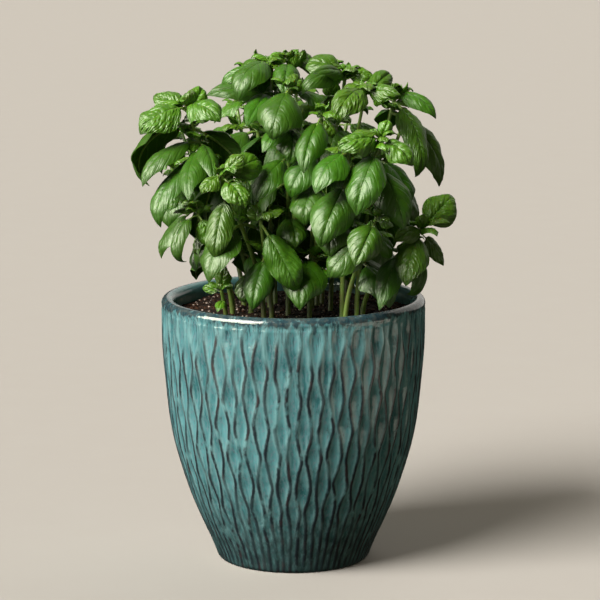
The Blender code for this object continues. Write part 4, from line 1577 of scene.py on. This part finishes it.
def finished(
    name: str, form: bmesh.types.BMesh, dress: Sequence[bpy.types.Material], node: str | None
) -> bpy.types.Object:
    """Turns a mesh into a finished piece of the object.

    Args:
        name: the piece's name.
        form: its mesh in metres, which is freed.
        dress: its materials.
        node: the CAD node that it stands for, if any.

    Returns:
        The object.
    """
    mesh = bpy.data.meshes.new(name)
    form.to_mesh(mesh)
    form.free()
    mesh.shade_smooth()
    mesh.set_sharp_from_angle(angle=math.radians(SHARP_ANGLE))
    piece = bpy.data.objects.new(name, mesh)
    bpy.context.scene.collection.objects.link(piece)
    for material in dress:
        mesh.materials.append(material)
    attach(piece, BODY)
    if node:
        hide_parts(node)
    LOG.info("%s: %d faces", name, len(mesh.polygons))
    return piece


@dataclass
class GlazedPot:
    """The pot, turned and then carved: each scoop lies between two lines that swing to and fro.

    Attributes:
        lines: how many lines there are round the pot.
        swing: how far a line swings to each side, mm.
        sharpness: how pointed its swings are, from 0, a wave, towards 1, a zigzag.
        half_length: half the length of a swing to and fro, mm.
        widest_at: a height at which lines swing furthest, mm.
        fades: the heights between which the swing grows from nothing, mm.
        gouge: the radius of the tool that carved the scoops, mm.
        carve_start: the heights between which the scoops reach their full depth, mm.
        carve_top: the height that the scoops' tops reach, mm.
        arch: how far a scoop's top is rounded, mm.
        band_edge: how far from a scoop's top the dark band starts and is full, mm.
        bare_from: the heights between which the body starts to show, each line at its own, mm.
        bare_edge: how far from there it starts and is bare, mm.
        columns: how many faces a scoop has across.
        wall: the heights between which the rows of faces lie, mm.
        wall_rows: how many of them there are.
        wander: how far a line strays from its rule, mm.
        wander_lengths: the lengths of its slow and of its quick straying, mm.
        foot_ring: the width of the ring that the pot stands on, mm.
        foot_recess: how far the foot is hollowed inside it, mm.
        foot_edge: how far in and how high its rounded edge's points are, mm.
        floor_round: how far the floor's corner inside is rounded, mm.
        inside_rows: the heights of the inner wall's points, mm.
        plainer: how far in from the outside the lip's glaze turns plainer, from and to, mm.
        habits: each line's share of the swing, its shift up or down and two phases of its wander.
    """

    lines: int = 76
    swing: float = 1.75
    sharpness: float = 0.93
    half_length: float = 22.0
    widest_at: float = 184.0
    fades: tuple[float, float] = (20.0, 62.0)
    gouge: float = 9.5
    carve_start: tuple[float, float] = (0.5, 8.0)
    carve_top: float = 197.6
    arch: float = 3.2
    band_edge: tuple[float, float] = (-1.6, 2.0)
    bare_from: tuple[float, float] = (166.0, 188.0)
    bare_edge: tuple[float, float] = (7.0, -5.0)
    columns: int = 8
    wall: tuple[float, float] = (2.0, 193.0)
    wall_rows: int = 124
    wander: float = 0.33
    wander_lengths: tuple[float, float] = (61.0, 23.0)
    foot_ring: float = 8.0
    foot_recess: float = 3.0
    foot_edge: tuple[tuple[float, float], ...] = ((1.2, 0.0), (0.2, 0.8))
    floor_round: float = 2.0
    inside_rows: tuple[float, ...] = (186.0, 140.0, 100.0, 50.0)
    plainer: tuple[float, float] = (3.5, 7.0)
    habits: list[tuple[float, float, float, float]] = field(init=False)

    def __post_init__(self) -> None:
        """Draws each line's own habit: swing, shift up or down, and two phases of its wander."""
        draw = random.Random(SEED)
        self.habits = [
            (draw.uniform(0.8, 1.2), draw.uniform(-2.5, 2.5), draw.random(), draw.random())
            for _ in range(self.lines)
        ]

    def line_angle(self, line: int, height: float, radius: float) -> float:
        """Where a line between two scoops lies.

        Args:
            line: its number round the pot.
            height: mm.
            radius: the wall's radius there, mm.

        Returns:
            Its angle from the front, radians.
        """
        share, shift, first, second = self.habits[line % self.lines]
        fade = min(1.0, max(0.0, (height - self.fades[0]) / (self.fades[1] - self.fades[0])))
        wave = math.cos(math.pi * (height - self.widest_at - shift) / self.half_length)
        wave = math.asin(self.sharpness * wave) / math.asin(self.sharpness)
        slow, quick = self.wander_lengths
        stray = math.sin(math.tau * (height / slow + first))
        stray += 0.7 * math.sin(math.tau * (height / quick + second))
        stray += 0.9 * noise.noise(Vector((line * 3.1, height / 8, 2.0)))
        side = (-1) ** line * self.swing * share * fade * wave + self.wander * stray
        return math.tau * (line + 0.5) / self.lines + side / radius

    def profile(self) -> list[tuple[float, float]]:
        """Radius and height from the middle of the foot, up the wall, over the lip and down inside."""
        foot = smooth_between(POT_WALL, 0.0)
        points = [
            (0.0, self.foot_recess),
            (foot - self.foot_ring - self.foot_recess, self.foot_recess),
            (foot - self.foot_ring, 0.0),
            *((foot - inset, height) for inset, height in self.foot_edge),
        ]
        low, high = self.wall
        for row in range(self.wall_rows + 1):
            height = low + (high - low) * row / self.wall_rows
            points.append((smooth_between(POT_WALL, height), height))
        heights = [(place, point[0]) for place, point in enumerate(POT_LIP)]
        radii = [(place, point[1]) for place, point in enumerate(POT_LIP)]
        top = max(heights, key=lambda pair: pair[1])[0]
        for place in (half_step / 2 for half_step in range(len(POT_LIP) * 2 - 1)):
            height = smooth_between(heights, place)
            if height > high or place > top:
                points.append((smooth_between(radii, place), height))
        for height in (*self.inside_rows, FLOOR_HEIGHT + self.floor_round):
            points.append((inside_radius(height), height))
        points.append((inside_radius(FLOOR_HEIGHT) - self.floor_round, FLOOR_HEIGHT))
        points.append((0.0, FLOOR_HEIGHT))
        return points

    def build(self, glaze: bpy.types.Material) -> bpy.types.Object:
        """Turns and carves the pot and gives its piece."""
        form = spun(self.profile(), self.lines * self.columns)
        self.carve(form)
        bmesh.ops.recalc_face_normals(form, faces=form.faces)
        return finished("glazed_pot_fine", form, [glaze], "glazed_pot")

    def carve(self, form: bmesh.types.BMesh) -> None:
        """Moves the wall's points onto the lines and into the scoops between them."""
        layers = form.verts.layers.float
        ridge, worn, hollow, under_lip, inner = [
            layers.new(name) for name in ("ridge", "worn", "hollow", "under_lip", "inner")
        ]
        segments = self.lines * self.columns
        foot = smooth_between(POT_WALL, 0.0)
        for vert in form.verts:
            height = vert.co.z / MM
            radius = math.hypot(vert.co.x, vert.co.y) / MM
            column = round(math.atan2(vert.co.x, -vert.co.y) % math.tau / math.tau * segments) % segments
            line, step = divmod(column, self.columns)
            share = step / self.columns
            vert[ridge] = self.gouge
            from_wall = inside_radius(height) + WALL_THICKNESS - radius
            vert[inner] = eased(from_wall, *self.plainer)
            # The underside is bare
            if height < self.foot_recess + 0.5 and from_wall > 1.0:
                vert[ridge], vert[worn], vert[inner] = 0.0, 2.0, 0.0
            # Only the outside is carved
            if radius < foot - 0.5 or radius < inside_radius(height) + WALL_THICKNESS / 2:
                vert[under_lip] = 1.0 if height > self.carve_top else 0.0
                continue
            here = self.line_angle(line - 1, height, radius)
            there = self.line_angle(line, height, radius)
            width = (there - here) * radius
            dip = 1 - (2 * share - 1) ** 2
            ragged = self.arch * noise.noise(Vector((here * 9, there * 31, 4.0)))
            arch = self.carve_top - self.arch * 0.6 * (1 - dip) + ragged
            reach = eased(height, arch, arch - 2.4 * self.arch) * eased(height, *self.carve_start)
            depth = width ** 2 / (8 * self.gouge) * dip * reach
            vert.co = turned(radius - depth, here + (there - here) * share, height) * MM
            vert[ridge] = (0.5 - abs(share - 0.5)) * width
            vert[hollow] = dip
            vert[worn] = self.wear(line - 1 if share < 0.5 else line, height)
            vert[under_lip] = eased(height, arch + self.band_edge[0], arch + self.band_edge[1])

    def wear(self, line: int, height: float) -> float:
        """How much of the dark body a line shows at a height: none near the lip, and less in places."""
        *_, first, second = self.habits[line % self.lines]
        start = self.bare_from[0] + (self.bare_from[1] - self.bare_from[0]) * first
        thick = 0.95 + 0.7 * noise.noise(Vector((13.0 * second, height / 16, 7.0 * first)))
        return eased(height, start + self.bare_edge[0], start + self.bare_edge[1]) * min(1.0, thick)


@dataclass
class PottingSoil:
    """The potting mix: a lumpy surface, with loose bark crumbs and perlite grains on it.

    Attributes:
        gap: how far it stays inside the pot's wall, mm.
        lump: the height of its lumps, mm.
        wave: the height of its broad waves, mm.
        crumbs: how many bark crumbs lie on it.
        crumb_sizes: their smallest and largest radius, mm.
        grains: how many perlite grains.
        grain_sizes: their smallest and largest radius, mm.
        clear: how far the loose bits stay from the pot's wall, mm.
        lift: how far above the surface a bit's middle lies, as a share of its radius.
        rings: how many rings of faces its top has.
        segments: how many faces a ring has.
        inside_rows: the heights of its side's points, mm.
    """

    gap: float = 0.3
    lump: float = 2.4
    wave: float = 0.65
    crumbs: int = 1500
    crumb_sizes: tuple[float, float] = (0.6, 2.4)
    grains: int = 420
    grain_sizes: tuple[float, float] = (0.35, 1.3)
    clear: float = 3.0
    lift: float = 0.2
    rings: int = 52
    segments: int = 168
    inside_rows: tuple[float, ...] = (180.0, 140.0, 100.0, 50.0)

    def top(self, x: float, y: float) -> float:
        """Height of the surface at a place in plan, mm."""
        radius, angle = math.hypot(x, y), math.atan2(x, -y)
        wave = math.sin(3 * angle + radius / 9) + math.cos(5 * angle - radius / 13)
        clod = noise.noise(Vector((x / 9, y / 9, 0.0))) * 0.6
        clod += noise.noise(Vector((x / 4, y / 4, 5.0))) * 0.4
        return SOIL_TOP + self.wave * wave + self.lump * clod

    def build(self, mix: bpy.types.Material, bark: bpy.types.Material, perlite: bpy.types.Material) -> None:
        """Builds the soil, its crumbs and its grains."""
        edge = inside_radius(SOIL_TOP) - self.gap
        profile = [(edge * i / self.rings, SOIL_TOP) for i in range(self.rings + 1)]
        for height in (*self.inside_rows, FLOOR_HEIGHT + self.gap):
            profile.append((inside_radius(height) - self.gap, height))
        profile.append((0.0, FLOOR_HEIGHT + self.gap))
        form = spun(profile, self.segments)
        for vert in form.verts:
            if vert.co.z > (SOIL_TOP - 1.0) * MM:
                vert.co.z = self.top(vert.co.x / MM, vert.co.y / MM) * MM
        bmesh.ops.recalc_face_normals(form, faces=form.faces)
        finished("potting_soil_fine", form, [mix], "potting_soil")
        draw = random.Random(SEED)
        self.scatter("bark_crumbs", self.crumbs, self.crumb_sizes, (1.0, 0.7, 0.5), bark, draw)
        self.scatter("perlite_grains", self.grains, self.grain_sizes, (1.0, 0.9, 0.8), perlite, draw)

    def scatter(
        self,
        name: str,
        count: int,
        sizes: tuple[float, float],
        form_of: tuple[float, float, float],
        material: bpy.types.Material,
        draw: random.Random,
    ) -> None:
        """Strews small lumps over the soil.

        Args:
            name: the piece's name.
            count: how many lumps.
            sizes: smallest and largest radius, mm.
            form_of: how long, wide and thick a lump is, as shares of its radius.
            material: what they are made of.
            draw: the seeded chance.
        """
        form = bmesh.new()
        edge = inside_radius(SOIL_TOP) - self.clear
        for _ in range(count):
            radius, angle = edge * math.sqrt(draw.random()), draw.uniform(0, math.tau)
            x, y = radius * math.cos(angle), radius * math.sin(angle)
            size = draw.uniform(*sizes)
            lump = bmesh.ops.create_icosphere(form, subdivisions=1, radius=size * MM)["verts"]
            for vert in lump:
                vert.co *= draw.uniform(*LUMP_CHANCE)
                vert.co = Vector([vert.co[i] * form_of[i] for i in range(3)])
            heading = Matrix.Rotation(draw.uniform(0, math.tau), 3, "Z")
            tilt = Matrix.Rotation(draw.uniform(-LUMP_TILT, LUMP_TILT), 3, "X")
            bmesh.ops.rotate(form, verts=lump, matrix=heading @ tilt, cent=(0, 0, 0))
            bmesh.ops.translate(form, verts=lump, vec=Vector((x, y, self.top(x, y) + size * self.lift)) * MM)
        finished(name, form, [material], None)


@dataclass
class Studio:
    """A pale floor, soft lights and the camera at the photograph's angle.

    Attributes:
        eye: where the camera stands, metres.
        pitch: how far it looks down, degrees.
        yaw: how far it looks to the right, degrees.
        lens: mm.
        sensor: mm.
        floor_size: how wide the floor is, metres.
        aim: where the windows face, metres.
        key: the key light's strength, watts per square metre.
        key_side: how far to the left of the camera it comes from, degrees.
        key_height: how high it comes from, degrees.
        key_spread: how broad it is, degrees.
        fill: the strength of the weak light from behind, which has the same fields.
        sun_colour: the colour of both.
        room: how bright the room is all round.
        room_in_gloss: how bright it shows in gloss, where the dark side of a real room would.
        room_colour: its colour.
    """

    eye: tuple[float, float, float] = (0.0, -1.949, 0.549)
    pitch: float = 10.2
    yaw: float = -0.147
    lens: float = 156.5
    sensor: float = 36.0
    floor_size: float = 24.0
    aim: tuple[float, float, float] = (0.0, 0.0, 0.22)
    key: float = 4.6
    key_side: float = 52.0
    key_height: float = 41.0
    key_spread: float = 36.0
    fill: float = 0.8
    fill_side: float = 205.0
    fill_height: float = 30.0
    fill_spread: float = 70.0
    sun_colour: str = "#FFFAF2"
    room: float = 0.13
    room_in_gloss: float = 0.02
    room_colour: str = "#F0E3C6"

    def build(self) -> None:
        """Sets up the floor, the lights, the world and the camera."""
        bpy.context.scene.view_settings.view_transform = "Standard"
        self.add_floor()
        self.add_sun("key", self.key, self.key_side, self.key_height, self.key_spread)
        self.add_sun("back fill", self.fill, self.fill_side, self.fill_height, self.fill_spread)
        self.add_sheen("left window", (-1.75, -1.0, 1.1), (2.3, 1.5), 240.0, "#F9FAE0")
        self.add_sheen("right window", (0.548, -0.244, 0.01), (0.46, 0.20), 0.55, "#FFF4E0")
        world = bpy.data.worlds.new("pale room")
        bpy.context.scene.world = world
        world.use_nodes = True
        in_gloss = add_node(world.node_tree, "LightPath").outputs["Is Glossy Ray"]
        links = {0: in_gloss, 3: self.room, 4: self.room_in_gloss}
        strength = add_node(world.node_tree, "MapRange", links=links)
        background = world.node_tree.nodes["Background"]
        background.inputs["Color"].default_value = linear(self.room_colour)
        world.node_tree.links.new(strength.outputs[0], background.inputs["Strength"])
        camera = bpy.data.cameras.new("camera")
        camera.lens = self.lens
        camera.sensor_width = self.sensor
        taker = bpy.data.objects.new("camera", camera)
        bpy.context.scene.collection.objects.link(taker)
        aimed = Matrix.Rotation(math.radians(self.yaw), 4, "Z")
        aimed @= Matrix.Rotation(math.radians(90.0 - self.pitch), 4, "X")
        taker.matrix_world = Matrix.Translation(self.eye) @ aimed
        bpy.context.scene.camera = taker

    def add_floor(self) -> None:
        """Adds the floor, wide enough that its far edge is out of sight."""
        form = bmesh.new()
        bmesh.ops.create_grid(form, x_segments=1, y_segments=1, size=self.floor_size / 2)
        mesh = bpy.data.meshes.new("floor")
        form.to_mesh(mesh)
        form.free()
        floor = bpy.data.objects.new("floor", mesh)
        bpy.context.scene.collection.objects.link(floor)
        mesh.materials.append(MattPlaster().build())
        floor.visible_diffuse = False
        floor.visible_glossy = False
        floor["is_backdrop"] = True

    def add_sun(self, name: str, strength: float, side: float, height: float, spread: float) -> None:
        """Adds a broad light that falls on everything alike.

        Args:
            name: its name.
            strength: watts per square metre.
            side: how far to the left of the camera it comes from, degrees.
            height: how high it comes from, degrees.
            spread: how broad it is, degrees.
        """
        light = bpy.data.lights.new(name, "SUN")
        light.energy = strength
        light.angle = math.radians(spread)
        light.color = linear(self.sun_colour)[:3]
        lamp = bpy.data.objects.new(name, light)
        bpy.context.scene.collection.objects.link(lamp)
        climb, plan = math.radians(height), math.radians(side)
        way = Vector((-math.sin(plan) * math.cos(climb), -math.cos(plan) * math.cos(climb), math.sin(climb)))
        lamp.rotation_euler = way.to_track_quat("Z", "Y").to_euler()

    def add_sheen(
        self,
        name: str,
        place: tuple[float, float, float],
        size: tuple[float, float],
        power: float,
        colour: str,
    ) -> None:
        """Adds a soft window that shows in gloss alone.

        Args:
            name: its name.
            place: where it stands, metres.
            size: its width and height, metres.
            power: watts.
            colour: its light's colour.
        """
        light = bpy.data.lights.new(name, "AREA")
        light.shape = "RECTANGLE"
        light.size, light.size_y = size
        light.energy = power
        light.color = linear(colour)[:3]
        lamp = bpy.data.objects.new(name, light)
        bpy.context.scene.collection.objects.link(lamp)
        lamp.location = place
        lamp.visible_diffuse = False
        lamp.rotation_euler = (Vector(self.aim) - Vector(place)).to_track_quat("-Z", "Y").to_euler()


def main() -> None:
    """Builds the pot, the soil, the leafy stems and the studio."""
    logging.basicConfig(level=logging.INFO, format="%(name)s: %(message)s")
    canopy = Canopy(SHOOTS)
    canopy.grow()
    dress = [
        # Its vein colour, darker than the leaf, is painted shade in the creases
        LeafSkin("waxy basil leaf", "#407406", "#609315", "#33600E", 0.35, -0.25, 0.46, 0.5).build(),
        # The underside's greens are darker than a real underside's paler green: painted shade
        LeafSkin("dull basil leaf underside", "#437014", "#5E8C2C", "#7CA050", 0.45, 0.3, 0.7, 0.1).build(),
        StemSkin().build(),
    ]
    for shoot in SHOOTS:
        LeafyStem(shoot, canopy.stems[shoot.name], canopy.blades[shoot.name]).build(dress)
    GlazedPot().build(StonewareGlaze().build())
    PottingSoil().build(
        Earth("moist potting mix", "#170D08", "#2F1D13", 0.95, 3.0, 0.6).build(),
        Earth("bark crumbs", "#1D0F09", "#54331F", 0.9, 2.0, 0.3).build(),
        Earth("perlite", "#B29B8B", "#DCCBBE", 0.9, 1.0, 0.2).build(),
    )
    Studio().build()
    boxes = {"cad": CAD_BOX, "visual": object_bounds()}
    {name: [list(corner) for corner in box] for name, box in boxes.items()}


if __name__ == "__main__":
    main()
